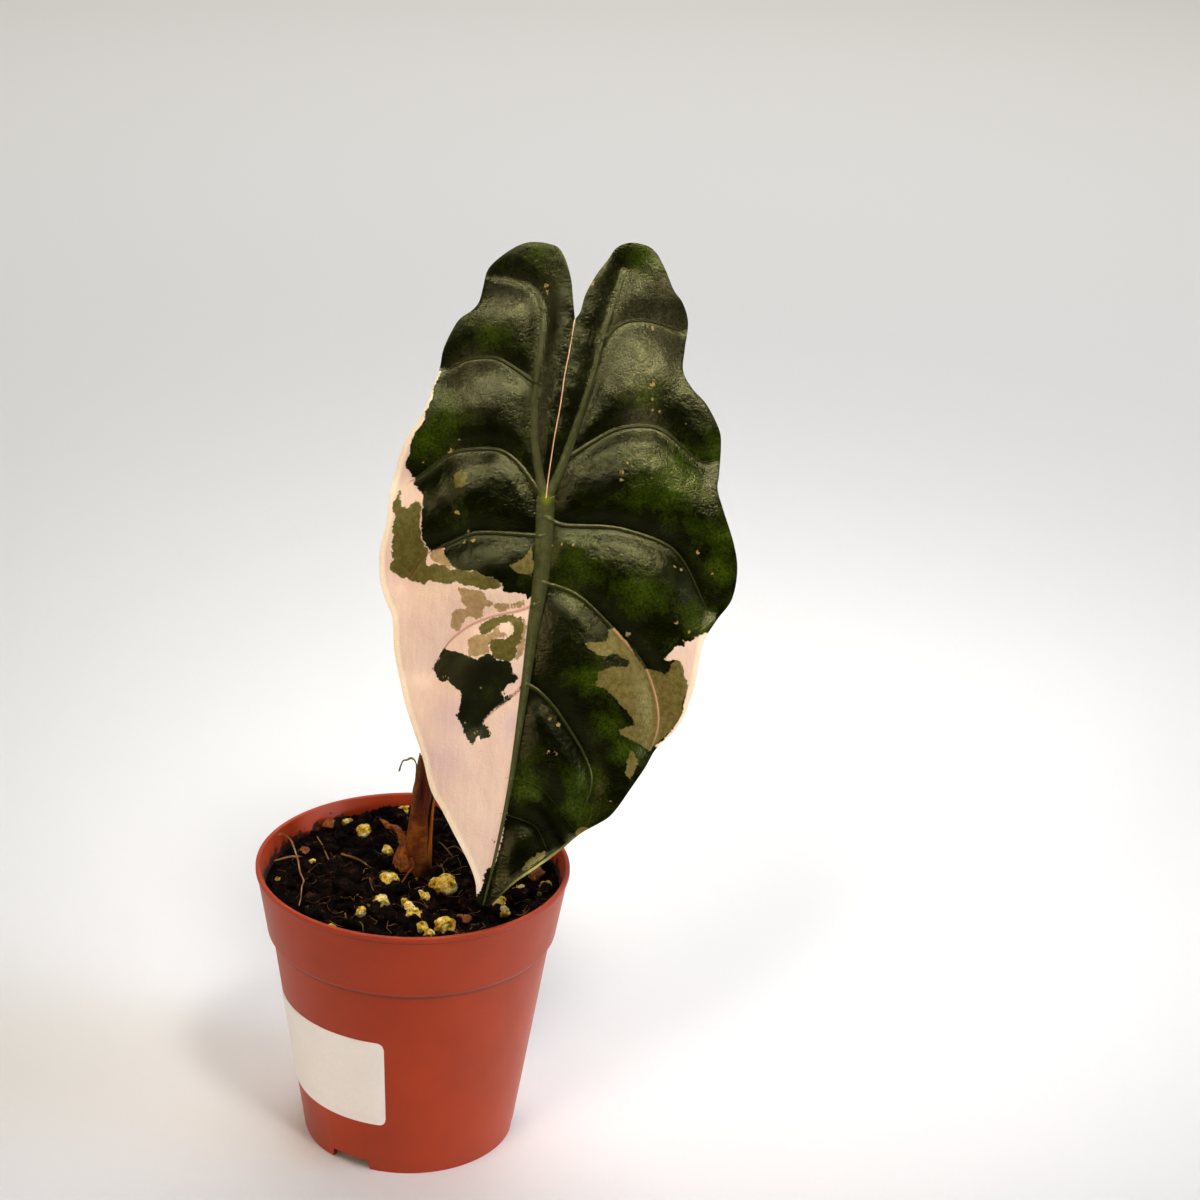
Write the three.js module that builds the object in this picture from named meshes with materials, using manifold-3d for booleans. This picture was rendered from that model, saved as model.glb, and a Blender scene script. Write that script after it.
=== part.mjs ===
// Potted alocasia: one quilted arrow-shaped blade on its stalk, growing in a moulded nursery pot.
// Millimetres, +Z up. The origin is the middle of the pot's underside, on the surface it stands on.
// The blade leans back from -Y, the side from which its upper face is seen.
import * as THREE from 'three';
import { mergeVertices } from 'three/addons/utils/BufferGeometryUtils.js';
import Module from 'manifold-3d';

const wasm = await Module();
wasm.setup();

const CLEARANCE = 0.35; // gap between neighbouring pieces
const SEED = 7;

const POT = {
  height: 85,
  rimRadius: 45,
  rimThickness: 1.3,
  lipHeight: 1.5,
  lipOverhang: 0.35,
  collarHeight: 19.7,
  collarFootRadius: 41.6,
  shoulderDrop: 1.8,
  shoulderRadius: 40.1,
  baseRadius: 30.7,
  edgeRound: 0.4,
  stepRound: 0.6,
  floorChamfer: 1,
  wall: 1.2,
  floorUnderside: 3,
  floorThickness: 1.3,
  footWidth: 1.8,
  padRadius: 5,
  segments: 60,
};
// Azimuths are in degrees from -Y, growing towards +X.
const NOTCH = { count: 3, azimuth: -29, width: 13.2, taper: 0.8, height: 3.2 };
const DRAIN = { slotLength: 6, slotWidth: 8, slotInset: 0.6, holeCount: 6, holeRadius: 2.6, holeCircle: 14 };
const CUT_MARGIN = 1; // how far a cutter runs past what it cuts
const LABEL = { rightAzimuth: -7.5, width: 50, low: 17.3, high: 46.8, thickness: 0.4, corner: 2.2 };

const STEM = { x: 0.8, y: 9.5, holeRadius: 4.75, rootBottom: 48.4, rootRadius: 4.3, rootTop: 69 };
const SOIL = {
  level: 78,
  backRise: 3,
  leftDrop: 1.2,
  roughness: 0.7,
  spokes: 40,
  rings: 10,
  crumbs: 26,
  crumbRadius: [1.3, 2.8],
  crumbInset: 4.5,
};
// Perlite grains and a piece of bark that show in the soil: place and radius.
const GRAINS = [
  [-6.8, -0.8, 2.7], [8.9, -3, 3.2], [-7.8, -13.5, 2.3], [-13.3, -18.7, 1.6], [3.1, -7.1, 1.9],
  [1.7, -18.5, 2.2], [4.7, -25.8, 1.8], [10.9, -25.9, 2.5], [6.5, -30, 1.5], [-16.9, 27.9, 2.1],
  [-8.6, 17.4, 1.6], [-5.4, 38, 1.8], [24.8, -10.5, 2.5], [27.4, -15.3, 1.8], [30.8, 1.5, 1.4],
  [38, 2.8, 1.6], [34.5, 9.9, 3], [-21, -26.4, 1.4], [-1.8, -10.5, 1.2], [17.5, 21, 2.4],
  [22.5, 29, 1.7], [-30, 10, 1.3], [12, 33, 1.9],
];

// Stalk: x, y, z and radius, from just under the soil to the back of the blade.
const STALK = [
  [0.8, 9.5, 69.5, 2.9], [0.8, 9.5, 78, 2.9], [0.9, 9.5, 87, 2.7], [1.5, 9.6, 95, 2.45],
  [2.2, 9.9, 103, 2.3], [3, 10.4, 112, 2.2], [6, 12.5, 131, 2.1], [12.8, 16.4, 152, 2],
  [22.2, 19.8, 172, 1.95], [30.2, 19, 185.5, 1.95], [33.2, 15.8, 191, 2.1], [34.2, 12.2, 193, 2.4],
];
const STALK_SIDES = 12;
const STALK_STEPS = 26;

// Sheath: height, outer radius, first and last azimuth of the wrap (0 is -Y, growing towards +X).
const SHEATH = [
  [70, 4.3, 42, 395], [78, 4, 42, 392], [84, 3.95, 48, 386], [90, 3.7, 56, 378], [96, 3.4, 62, 364],
  [100, 3.3, 72, 352], [101.5, 3.2, 105, 348], [103.5, 3.15, 145, 344], [106, 3.1, 185, 338],
  [109.5, 3, 218, 330], [114.5, 2.9, 255, 300],
];
const SHEATH_WALL = 0.65;
const SHEATH_GAP = 0.5;
const SHEATH_SIDES = 14;
const CURL = [
  [-0.9, 9.2, 105], [-0.5, 8.7, 109], [-0.4, 8.4, 111.8], [-1.1, 8.2, 113.4], [-2.3, 8.1, 114],
  [-3.6, 8.2, 113.5], [-4.5, 8.4, 112.2], [-5.1, 8.5, 110],
];
const CURL_RADIUS = 0.42;

// Older leaf's base and cut stub: x, y, z and radius.
const OLD_BASE = [
  [-3.2, 8.7, 71, 2.7], [-3.3, 8.7, 75, 3.1], [-3.5, 8.7, 79, 3.2], [-3.4, 8.9, 82.5, 2.6],
  [-3.2, 9.2, 85, 1.7], [-3.1, 9.4, 86.4, 0.8],
];
const OLD_STUB = [
  [-3.3, 9.3, 82, 1.4], [-3.6, 9.5, 87, 1.3], [-4.6, 9.7, 89.6, 1.15], [-7.4, 10, 91.3, 1],
  [-10.4, 10.3, 93.1, 0.85],
];
const OLD_BASE_HOLE = { x: -3.3, y: 8.7, radius: 3.7, bottom: 70.4 };

// The blade is drawn flat, in millimetres from the point where the stalk joins it, y towards the
// lobes, and then leaned back and rolled. Each outline runs from the sinus to the tip.
const BLADE = {
  joint: [34.2, 9.6, 194.1],
  leanDegrees: 22.6,
  rollDegrees: 2.5,
  thickness: 0.8,
  ribDepth: 1.5,
  ribWidth: 2.4,
  quiltHeight: 2.4,
  quiltWidth: 5.5,
  tipDrop: 7,
  lobeDrop: 5,
  sideDrop: 6,
  halfWidth: 50,
  spokesPerSide: 50,
  rings: 10,
};
const LEFT_MARGIN = [
  [8, 50], [7.5, 55.5], [7, 61], [5.5, 66.5], [3.5, 70], [1, 71], [-1.5, 71.5], [-5, 71.5], [-9, 70],
  [-14, 66.5], [-16.5, 63.5], [-17.5, 59], [-18.5, 55], [-20.5, 52.5], [-24, 50], [-26.5, 46],
  [-28.5, 41.5], [-29.5, 36.5], [-31.5, 30.5], [-33.5, 25], [-37, 19.5], [-40, 14], [-41.5, 8.5],
  [-43, 3], [-44, -5.5], [-46, -14], [-46, -22], [-44.5, -27.5], [-42.5, -32.5], [-42, -41.5],
  [-40.5, -49.5], [-38.5, -58], [-34.5, -70], [-32, -80], [-29, -85.5], [-26, -91.5], [-22, -99.5],
  [-19.5, -105.5], [-19.2, -109.5], [-19.7, -112], [-18, -112.5],
];
const RIGHT_MARGIN = [
  [8, 50], [9.5, 52], [11, 57], [14, 62.5], [17, 66.5], [19.5, 70], [23, 71.5], [27.5, 71], [30.5, 69],
  [33, 64.5], [35.5, 58.5], [38, 55], [39.5, 49.5], [38.5, 42], [38, 36], [40.5, 31], [44.5, 26.5],
  [48, 19.5], [48.5, 14.5], [48, 7.5], [47.5, 3], [49, -2.5], [52, -12], [53, -19.5], [51.5, -27.5],
  [47.5, -33], [44, -38.5], [42.5, -44], [41.5, -50], [39, -58], [36, -63.5], [30.5, -69], [27.5, -74],
  [23, -80.5], [19.5, -85.5], [16.5, -88.5], [9.5, -92.5], [4, -97], [-1.5, -101], [-8, -105.5],
  [-13.5, -110.5], [-16, -112.8], [-18, -112.5],
];
const MAIN_RIBS = [
  [[0, 0], [-1.5, -22], [-4, -38.5], [-6.5, -58], [-10, -79], [-14.5, -100], [-17.5, -112]],
  [[0, 0], [-1.5, 5.5], [-3, 16.5], [-3, 30.5], [-1, 47], [-1, 53.5], [-3.5, 58.5], [-10.5, 61], [-16, 62]],
  [[0, 0], [4.5, 9.5], [11.5, 29], [15, 41.5], [18, 52], [22, 64]],
];
const SIDE_VEINS = [
  [[-3, 32.5], [-9.5, 37], [-14.5, 39.5], [-21.5, 39], [-26.5, 36.5]],
  [[-1.5, 1.5], [-4.5, 6], [-8.5, 11], [-14, 14], [-24.5, 13.5], [-30, 10.5], [-37, 5.5]],
  [[-1.5, -10], [-11.5, -10], [-19, -9.5], [-25, -11.5], [-31.5, -14], [-36.5, -18], [-40.5, -27.5]],
  [[-3.5, -29.5], [-10, -30.5], [-17, -32.5], [-23.5, -35.5], [-28, -40], [-32.5, -50], [-34.5, -55.5]],
  [[-6, -51.5], [-11.5, -56], [-17, -60], [-20.5, -65]],
  [[16.5, 45], [21, 49], [27.5, 50], [37, 47.5]],
  [[7.5, 12.5], [12, 15.5], [19.5, 19.5], [27.5, 20.5], [33.5, 18.5], [42.5, 11], [47.5, 11.5]],
  [[0.5, -5], [5, -7], [17.5, -7.5], [26, -9.5], [33.5, -12.5], [38.5, -17.5], [44.5, -30]],
  [[-0.5, -23], [6, -25], [12, -29], [22.5, -40], [27.5, -46.5], [30.5, -55.5], [31, -63], [29, -69.5]],
  [[-5.5, -51], [-2.5, -52.5], [2, -57], [6.5, -63.5], [10.5, -70.5], [12.5, -78], [10, -88]],
  [[-10.5, -80.5], [-4.5, -84], [0.5, -87.5], [6.5, -93.5]],
];

// Repeatable random numbers from 0 to 1.
function randomFrom(seed) {
  let state = seed;
  return () => {
    state = (state * 1664525 + 1013904223) % 4294967296;
    return state / 4294967296;
  };
}

function geometryOf(points, triangles) {
  const geometry = new THREE.BufferGeometry();
  geometry.setAttribute('position', new THREE.Float32BufferAttribute(points.flat(), 3));
  geometry.setIndex(triangles.flat());
  return geometry;
}

// A closed solid through loops of points that all have the same count.
// With bands, a loop is an outer row followed by the inner row run back, and the ends close across it.
function loftedSolid(loops, bands = false) {
  const sides = loops[0].length;
  const points = loops.flat();
  const triangles = [];
  const last = (loops.length - 1) * sides;
  for (let row = 0; row + 1 < loops.length; row += 1) {
    for (let side = 0; side < sides; side += 1) {
      const a = row * sides + side;
      const b = row * sides + ((side + 1) % sides);
      triangles.push([a, b, a + sides], [b, b + sides, a + sides]);
    }
  }
  if (bands) {
    for (let side = 0; side + 1 < sides / 2; side += 1) {
      const back = sides - 1 - side;
      triangles.push([side, back, side + 1], [side + 1, back, back - 1]);
      triangles.push([last + side, last + side + 1, last + back]);
      triangles.push([last + side + 1, last + back - 1, last + back]);
    }
  } else {
    for (const start of [0, last]) {
      const middle = new THREE.Vector3();
      for (let side = 0; side < sides; side += 1) middle.add(new THREE.Vector3(...points[start + side]));
      points.push(middle.divideScalar(sides).toArray());
      for (let side = 0; side < sides; side += 1) {
        const a = start + side;
        const b = start + ((side + 1) % sides);
        triangles.push(start === 0 ? [points.length - 1, b, a] : [points.length - 1, a, b]);
      }
    }
  }
  return facingOut(geometryOf(points, triangles));
}

function signedVolume(geometry) {
  const p = geometry.getAttribute('position');
  const index = geometry.getIndex();
  const corner = [new THREE.Vector3(), new THREE.Vector3(), new THREE.Vector3()];
  let volume = 0;
  for (let i = 0; i < index.count; i += 3) {
    corner.forEach((v, k) => v.fromBufferAttribute(p, index.getX(i + k)));
    volume += corner[0].dot(corner[1].cross(corner[2])) / 6;
  }
  return volume;
}

function facingOut(geometry) {
  if (signedVolume(geometry) < 0) {
    const index = geometry.getIndex();
    for (let i = 0; i < index.count; i += 3) {
      const kept = index.getX(i);
      index.setX(i, index.getX(i + 1));
      index.setX(i + 1, kept);
    }
  }
  return geometry;
}

function toManifold(geometry) {
  const bare = geometry.clone();
  bare.deleteAttribute('normal');
  bare.deleteAttribute('uv');
  const merged = mergeVertices(bare, 1e-4);
  const index = merged.getIndex();
  const triangles = [];
  for (let i = 0; i < index.count; i += 3) {
    const [a, b, c] = [index.getX(i), index.getX(i + 1), index.getX(i + 2)];
    if (a !== b && b !== c && c !== a) triangles.push(a, b, c);
  }
  merged.setIndex(triangles);
  facingOut(merged);
  return new wasm.Manifold(
    new wasm.Mesh({
      numProp: 3,
      vertProperties: new Float32Array(merged.getAttribute('position').array),
      triVerts: new Uint32Array(merged.getIndex().array),
    }),
  );
}

function fromManifold(solid) {
  const mesh = solid.getMesh();
  const geometry = new THREE.BufferGeometry();
  geometry.setAttribute('position', new THREE.BufferAttribute(new Float32Array(mesh.vertProperties), 3));
  geometry.setIndex([...mesh.triVerts]);
  return geometry;
}

// The largest body of a cut solid, without the scraps that a cut can leave.
function mainBody(solid) {
  return solid.decompose().sort((a, b) => b.volume() - a.volume())[0];
}

// A radius at each point, along a smooth route through them.
function tubeAlong(route, radii, sides, steps, endNormal = null) {
  const curve = new THREE.CatmullRomCurve3(route.map((p) => new THREE.Vector3(...p)));
  const frames = curve.computeFrenetFrames(steps, false);
  const loops = [];
  for (let step = 0; step <= steps; step += 1) {
    const share = step / steps;
    const place = curve.getPoint(share);
    const at = share * (radii.length - 1);
    const low = Math.min(Math.floor(at), radii.length - 2);
    const radius = THREE.MathUtils.lerp(radii[low], radii[low + 1], at - low);
    const tangent = curve.getTangent(share);
    if (endNormal && step === steps) tangent.copy(endNormal);
    const across = frames.normals[step].clone();
    across.addScaledVector(tangent, -across.dot(tangent)).normalize();
    const upward = new THREE.Vector3().crossVectors(tangent, across);
    const loop = [];
    for (let side = 0; side < sides; side += 1) {
      const angle = (side / sides) * 2 * Math.PI;
      const point = place.clone();
      point.addScaledVector(across, radius * Math.cos(angle));
      point.addScaledVector(upward, radius * Math.sin(angle));
      loop.push(point.toArray());
    }
    loops.push(loop);
  }
  return loops;
}

function uprightCylinder(x, y, bottom, top, radius, sides) {
  const geometry = new THREE.CylinderGeometry(radius, radius, top - bottom, sides);
  geometry.rotateX(Math.PI / 2);
  geometry.translate(x, y, (top + bottom) / 2);
  return toManifold(geometry);
}

function turnedAboutZ(profile, segments) {
  const geometry = new THREE.LatheGeometry(profile.map(([r, z]) => new THREE.Vector2(r, z)), segments);
  geometry.rotateX(Math.PI / 2);
  return toManifold(geometry);
}

// Outer radius of the tapered body at a height.
function bodyRadius(z) {
  const top = POT.height - POT.collarHeight - POT.shoulderDrop;
  return THREE.MathUtils.lerp(POT.baseRadius, POT.shoulderRadius, z / top);
}

// Inner radius of the pot at a height, through its collar, step and body.
function innerRadius(z) {
  const collarFoot = POT.height - POT.collarHeight;
  const stepFoot = collarFoot - POT.shoulderDrop;
  const rimInner = POT.rimRadius - POT.rimThickness;
  const collarInner = POT.collarFootRadius - POT.wall;
  if (z >= collarFoot) {
    return THREE.MathUtils.mapLinear(z, collarFoot, POT.height, collarInner, rimInner);
  }
  const bodyInner = POT.shoulderRadius - POT.wall;
  if (z >= stepFoot) return THREE.MathUtils.mapLinear(z, stepFoot, collarFoot, bodyInner, collarInner);
  return bodyRadius(z) - POT.wall;
}

function potSolid() {
  const lipFoot = POT.height - POT.lipHeight;
  const collarTop = POT.rimRadius - POT.lipOverhang;
  const collarFoot = POT.height - POT.collarHeight;
  const stepFoot = collarFoot - POT.shoulderDrop;
  const floorTop = POT.floorUnderside + POT.floorThickness;
  const footInner = POT.baseRadius - POT.footWidth;
  const profile = [
    [0, 0],
    [POT.padRadius, 0],
    [POT.padRadius - POT.edgeRound, POT.floorUnderside],
    [footInner, POT.floorUnderside],
    [footInner, 0],
    [POT.baseRadius - POT.edgeRound, 0],
    [bodyRadius(POT.edgeRound), POT.edgeRound],
    [POT.shoulderRadius, stepFoot],
    [POT.shoulderRadius + POT.stepRound, stepFoot + POT.stepRound],
    [POT.collarFootRadius - POT.stepRound / 2, collarFoot - POT.stepRound],
    [POT.collarFootRadius, collarFoot],
    [collarTop, lipFoot - POT.lipOverhang],
    [POT.rimRadius, lipFoot],
    [POT.rimRadius, POT.height - POT.edgeRound],
    [POT.rimRadius - POT.edgeRound, POT.height],
    [POT.rimRadius - POT.rimThickness + POT.edgeRound, POT.height],
    [innerRadius(POT.height - POT.edgeRound), POT.height - POT.edgeRound],
    [innerRadius(collarFoot), collarFoot],
    [innerRadius(stepFoot), stepFoot],
    [innerRadius(floorTop + POT.floorChamfer), floorTop + POT.floorChamfer],
    [innerRadius(floorTop) - POT.floorChamfer, floorTop],
    [0, floorTop],
  ];
  let pot = turnedAboutZ(profile, POT.segments);
  for (let i = 0; i < NOTCH.count; i += 1) {
    const azimuth = NOTCH.azimuth + (i * 360) / NOTCH.count;
    pot = pot.subtract(footNotch(azimuth)).subtract(drainSlot(azimuth));
  }
  for (let i = 0; i < DRAIN.holeCount; i += 1) {
    const angle = ((i + 0.5) / DRAIN.holeCount) * 2 * Math.PI;
    const [x, y] = [DRAIN.holeCircle * Math.cos(angle), DRAIN.holeCircle * Math.sin(angle)];
    const [bottom, top] = [POT.floorUnderside - CUT_MARGIN, floorTop + CUT_MARGIN];
    pot = pot.subtract(uprightCylinder(x, y, bottom, top, DRAIN.holeRadius, 12));
  }
  return fromManifold(pot);
}

function turnTo(geometry, azimuth) {
  geometry.rotateZ(THREE.MathUtils.degToRad(azimuth));
  return toManifold(geometry);
}

// A drain notch under the foot ring, a little wider at its mouth.
function footNotch(azimuth) {
  const half = NOTCH.width / 2;
  const mouth = new THREE.Shape();
  mouth.moveTo(-half, -CUT_MARGIN);
  mouth.lineTo(half, -CUT_MARGIN);
  mouth.lineTo(half - NOTCH.taper, NOTCH.height);
  mouth.lineTo(-half + NOTCH.taper, NOTCH.height);
  mouth.closePath();
  const depth = POT.footWidth + 4 * CUT_MARGIN;
  const geometry = new THREE.ExtrudeGeometry(mouth, { depth, bevelEnabled: false });
  geometry.rotateX(Math.PI / 2);
  geometry.translate(0, -(POT.baseRadius - POT.footWidth - CUT_MARGIN), 0);
  return turnTo(geometry, azimuth);
}

function drainSlot(azimuth) {
  const height = POT.floorThickness + 2 * CUT_MARGIN;
  const geometry = new THREE.BoxGeometry(DRAIN.slotWidth, DRAIN.slotLength, height);
  const outer = POT.baseRadius - POT.footWidth - DRAIN.slotInset;
  const middle = POT.floorUnderside + POT.floorThickness / 2;
  geometry.translate(0, -(outer - DRAIN.slotLength / 2), middle);
  return turnTo(geometry, azimuth);
}

// The label follows the tapered wall, with round corners.
function labelSolid() {
  const middle = (LABEL.low + LABEL.high) / 2;
  const sweep = THREE.MathUtils.radToDeg(LABEL.width / bodyRadius(middle));
  const [steps, cornerSteps] = [18, 3];
  const shares = [];
  for (let i = 0; i <= cornerSteps; i += 1) {
    shares.push((LABEL.corner / LABEL.width) * (1 - Math.cos((i / cornerSteps) * (Math.PI / 2))));
  }
  for (let i = 1; i < steps; i += 1) {
    shares.push(THREE.MathUtils.lerp(shares[cornerSteps], 1 - shares[cornerSteps], i / steps));
  }
  for (let i = cornerSteps; i >= 0; i -= 1) shares.push(1 - shares[i]);
  const loops = shares.map((share) => {
    const fromEnd = Math.min(share, 1 - share) * LABEL.width;
    const round = Math.max(0, 1 - fromEnd / LABEL.corner);
    const cut = LABEL.corner * (1 - Math.sqrt(Math.max(0, 1 - round * round)));
    const azimuth = THREE.MathUtils.degToRad(LABEL.rightAzimuth - sweep * share);
    const at = (z, out) => {
      const radius = bodyRadius(z) + CLEARANCE + out;
      return [radius * Math.sin(azimuth), -radius * Math.cos(azimuth), z];
    };
    const [low, high] = [LABEL.low + cut, LABEL.high - cut];
    return [at(low, 0), at(high, 0), at(high, LABEL.thickness), at(low, LABEL.thickness)];
  });
  return loftedSolid(loops);
}

// Height of the soil's top, without its grains.
function soilHeight(x, y) {
  const reach = innerRadius(SOIL.level);
  const back = Math.max(0, y / reach);
  const left = Math.max(0, -x / reach);
  const clods = Math.sin(x * 0.55 + 1.3) * Math.cos(y * 0.47) + 0.6 * Math.sin(x * 0.93 - y * 0.81 + 0.5);
  return SOIL.level + SOIL.backRise * back ** 2 - SOIL.leftDrop * left ** 2 + SOIL.roughness * clods;
}

function lump(x, y, z, radius, random) {
  const geometry = mergeVertices(bareIcosahedron(radius));
  const p = geometry.getAttribute('position');
  for (let i = 0; i < p.count; i += 1) {
    const stretch = 0.8 + 0.35 * random();
    p.setXYZ(i, p.getX(i) * stretch, p.getY(i) * stretch, p.getZ(i) * stretch * 0.85);
  }
  geometry.rotateZ(random() * Math.PI);
  geometry.translate(x, y, z);
  return toManifold(geometry);
}

function bareIcosahedron(radius) {
  const geometry = new THREE.IcosahedronGeometry(radius, 0);
  geometry.deleteAttribute('normal');
  geometry.deleteAttribute('uv');
  return geometry;
}

function soilSolid() {
  const floorTop = POT.floorUnderside + POT.floorThickness;
  const collarFoot = POT.height - POT.collarHeight;
  const stepFoot = collarFoot - POT.shoulderDrop;
  const foot = floorTop + CLEARANCE;
  const stepFill = CLEARANCE * 0.7;
  const loops = [
    soilLoop(() => foot, innerRadius(foot) - CLEARANCE - POT.floorChamfer),
    soilLoop(() => stepFoot + stepFill, innerRadius(stepFoot) - CLEARANCE),
    soilLoop(() => collarFoot + stepFill, innerRadius(collarFoot) - CLEARANCE),
  ];
  const edge = innerRadius(SOIL.level - 2) - CLEARANCE;
  for (let ring = 0; ring < SOIL.rings; ring += 1) {
    loops.push(soilLoop(soilHeight, edge * (1 - ring / SOIL.rings)));
  }
  let soil = toManifold(loftedSolid(loops));
  const random = randomFrom(SEED);
  for (const [x, y, radius] of GRAINS) {
    soil = soil.add(lump(x, y, soilHeight(x, y) + radius * 0.25, radius, random));
  }
  for (let i = 0; i < SOIL.crumbs; i += 1) {
    const angle = random() * 2 * Math.PI;
    const distance = Math.sqrt(random()) * (edge - SOIL.crumbInset);
    const [x, y] = [distance * Math.cos(angle), distance * Math.sin(angle)];
    const radius = THREE.MathUtils.lerp(...SOIL.crumbRadius, random());
    soil = soil.add(lump(x, y, soilHeight(x, y), radius, random));
  }
  const top = POT.height + CUT_MARGIN;
  soil = soil.subtract(
    uprightCylinder(STEM.x, STEM.y, STEM.rootBottom - CLEARANCE, top, STEM.holeRadius, 20),
  );
  const { x, y, radius, bottom } = OLD_BASE_HOLE;
  return fromManifold(mainBody(soil.subtract(uprightCylinder(x, y, bottom, top, radius, 16))));
}

function soilLoop(heightAt, radius) {
  const loop = [];
  for (let i = 0; i < SOIL.spokes; i += 1) {
    const angle = (i / SOIL.spokes) * 2 * Math.PI;
    const [x, y] = [radius * Math.cos(angle), radius * Math.sin(angle)];
    loop.push([x, y, heightAt(x, y)]);
  }
  return loop;
}

const bladeTurn = new THREE.Quaternion()
  .setFromAxisAngle(new THREE.Vector3(1, 0, 0), THREE.MathUtils.degToRad(-BLADE.leanDegrees))
  .multiply(
    new THREE.Quaternion().setFromAxisAngle(
      new THREE.Vector3(0, -1, 0),
      THREE.MathUtils.degToRad(BLADE.rollDegrees),
    ),
  );

// A point of the flat blade, raised towards its upper face, put in its place on the plant.
function onBlade(x, y, height) {
  const point = new THREE.Vector3(x, -height, y).applyQuaternion(bladeTurn);
  return point.add(new THREE.Vector3(...BLADE.joint)).toArray();
}

function distanceToLine(x, y, line) {
  let nearest = Infinity;
  for (let i = 0; i + 1 < line.length; i += 1) {
    const [ax, ay] = line[i];
    const [bx, by] = [line[i + 1][0] - ax, line[i + 1][1] - ay];
    const along = THREE.MathUtils.clamp(((x - ax) * bx + (y - ay) * by) / (bx * bx + by * by), 0, 1);
    nearest = Math.min(nearest, Math.hypot(x - ax - along * bx, y - ay - along * by));
  }
  return nearest;
}

// Height of the upper face: sunk along the veins, bulging between them, arched to the tip and lobes.
function bladeHeight(x, y) {
  const toVein = Math.min(...[...MAIN_RIBS, ...SIDE_VEINS].map((line) => distanceToLine(x, y, line)));
  const quilt = BLADE.quiltHeight * (1 - Math.exp(-((toVein / BLADE.quiltWidth) ** 2)));
  const tipY = LEFT_MARGIN.at(-1)[1];
  const lobeY = Math.max(...LEFT_MARGIN.map((p) => p[1]));
  const arch = y < 0 ? BLADE.tipDrop * (y / tipY) ** 2 : BLADE.lobeDrop * (y / lobeY) ** 2;
  const middle = y < 0 ? -17.5 * (y / tipY) ** 1.6 : 4 * (y / lobeY);
  const side = BLADE.sideDrop * ((x - middle) / BLADE.halfWidth) ** 2;
  return quilt - arch - side;
}

// The blade is thicker along its three main ribs, which stand out of its underside.
function bladeDepth(x, y) {
  const toRib = Math.min(...MAIN_RIBS.map((line) => distanceToLine(x, y, line)));
  const fade = 1 - 0.75 * Math.min(1, Math.hypot(x, y) / 100);
  return BLADE.thickness + BLADE.ribDepth * fade * Math.exp(-((toRib / BLADE.ribWidth) ** 2));
}

function marginPoints() {
  const trace = (points) => {
    const curve = new THREE.CatmullRomCurve3(points.map(([x, y]) => new THREE.Vector3(x, y, 0)));
    return curve.getSpacedPoints(BLADE.spokesPerSide).map((p) => [p.x, p.y]);
  };
  const left = trace(LEFT_MARGIN);
  const right = trace(RIGHT_MARGIN).reverse();
  return [...left.slice(0, -1), ...right.slice(0, -1)];
}

function bladeSolid() {
  const margin = marginPoints();
  const spokes = margin.length;
  const points = [];
  const face = (heightAt) => {
    const start = points.length;
    points.push(onBlade(0, 0, heightAt(0, 0)));
    for (let ring = 1; ring <= BLADE.rings; ring += 1) {
      const share = ring / BLADE.rings;
      for (const [x, y] of margin) {
        points.push(onBlade(x * share, y * share, heightAt(x * share, y * share)));
      }
    }
    return start;
  };
  const top = face(bladeHeight);
  const under = face((x, y) => bladeHeight(x, y) - bladeDepth(x, y));
  const triangles = [];
  const at = (start, ring, spoke) => start + 1 + (ring - 1) * spokes + (spoke % spokes);
  const both = (a, b, c) => {
    triangles.push([top + a, top + b, top + c], [under + a, under + c, under + b]);
  };
  for (let spoke = 0; spoke < spokes; spoke += 1) {
    both(0, at(0, 1, spoke), at(0, 1, spoke + 1));
    for (let ring = 1; ring < BLADE.rings; ring += 1) {
      const [a, b] = [at(0, ring, spoke), at(0, ring, spoke + 1)];
      both(a, a + spokes, b);
      both(b, a + spokes, b + spokes);
    }
    const [a, b] = [at(top, BLADE.rings, spoke), at(top, BLADE.rings, spoke + 1)];
    triangles.push([a, a - top + under, b], [b, a - top + under, b - top + under]);
  }
  return facingOut(geometryOf(points, triangles));
}

function stalkRadiusAt(z) {
  const row = STALK.findIndex((p) => p[2] >= z);
  const [low, high] = [STALK[Math.max(0, row - 1)], STALK[Math.max(1, row)]];
  const share = THREE.MathUtils.clamp((z - low[2]) / (high[2] - low[2]), 0, 1);
  return THREE.MathUtils.lerp(low[3], high[3], share);
}

function petioleSolid() {
  const route = STALK.map(([x, y, z]) => [x, y, z]);
  const radii = STALK.map((p) => p[3]);
  const back = new THREE.Vector3(0, -1, 0).applyQuaternion(bladeTurn);
  const loops = tubeAlong(route, radii, STALK_SIDES, STALK_STEPS, back);
  const ring = (z, radius) =>
    loops[0].map(([x, y]) => {
      const scale = radius / STALK[0][3];
      return [STEM.x + (x - STEM.x) * scale, STEM.y + (y - STEM.y) * scale, z];
    });
  const root = [
    ring(STEM.rootBottom, STEM.rootRadius * 0.75),
    ring(STEM.rootBottom + 2, STEM.rootRadius),
    ring(STEM.rootTop, STEM.rootRadius),
  ];
  return loftedSolid([...root, ...loops]);
}

// Where the stalk's middle stands at a height in its upright lower part.
function stalkMiddle(z) {
  const row = Math.max(1, STALK.findIndex((p) => p[2] >= z));
  const [low, high] = [STALK[row - 1], STALK[row]];
  const share = THREE.MathUtils.clamp((z - low[2]) / (high[2] - low[2]), 0, 1);
  return [THREE.MathUtils.lerp(low[0], high[0], share), THREE.MathUtils.lerp(low[1], high[1], share)];
}

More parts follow.
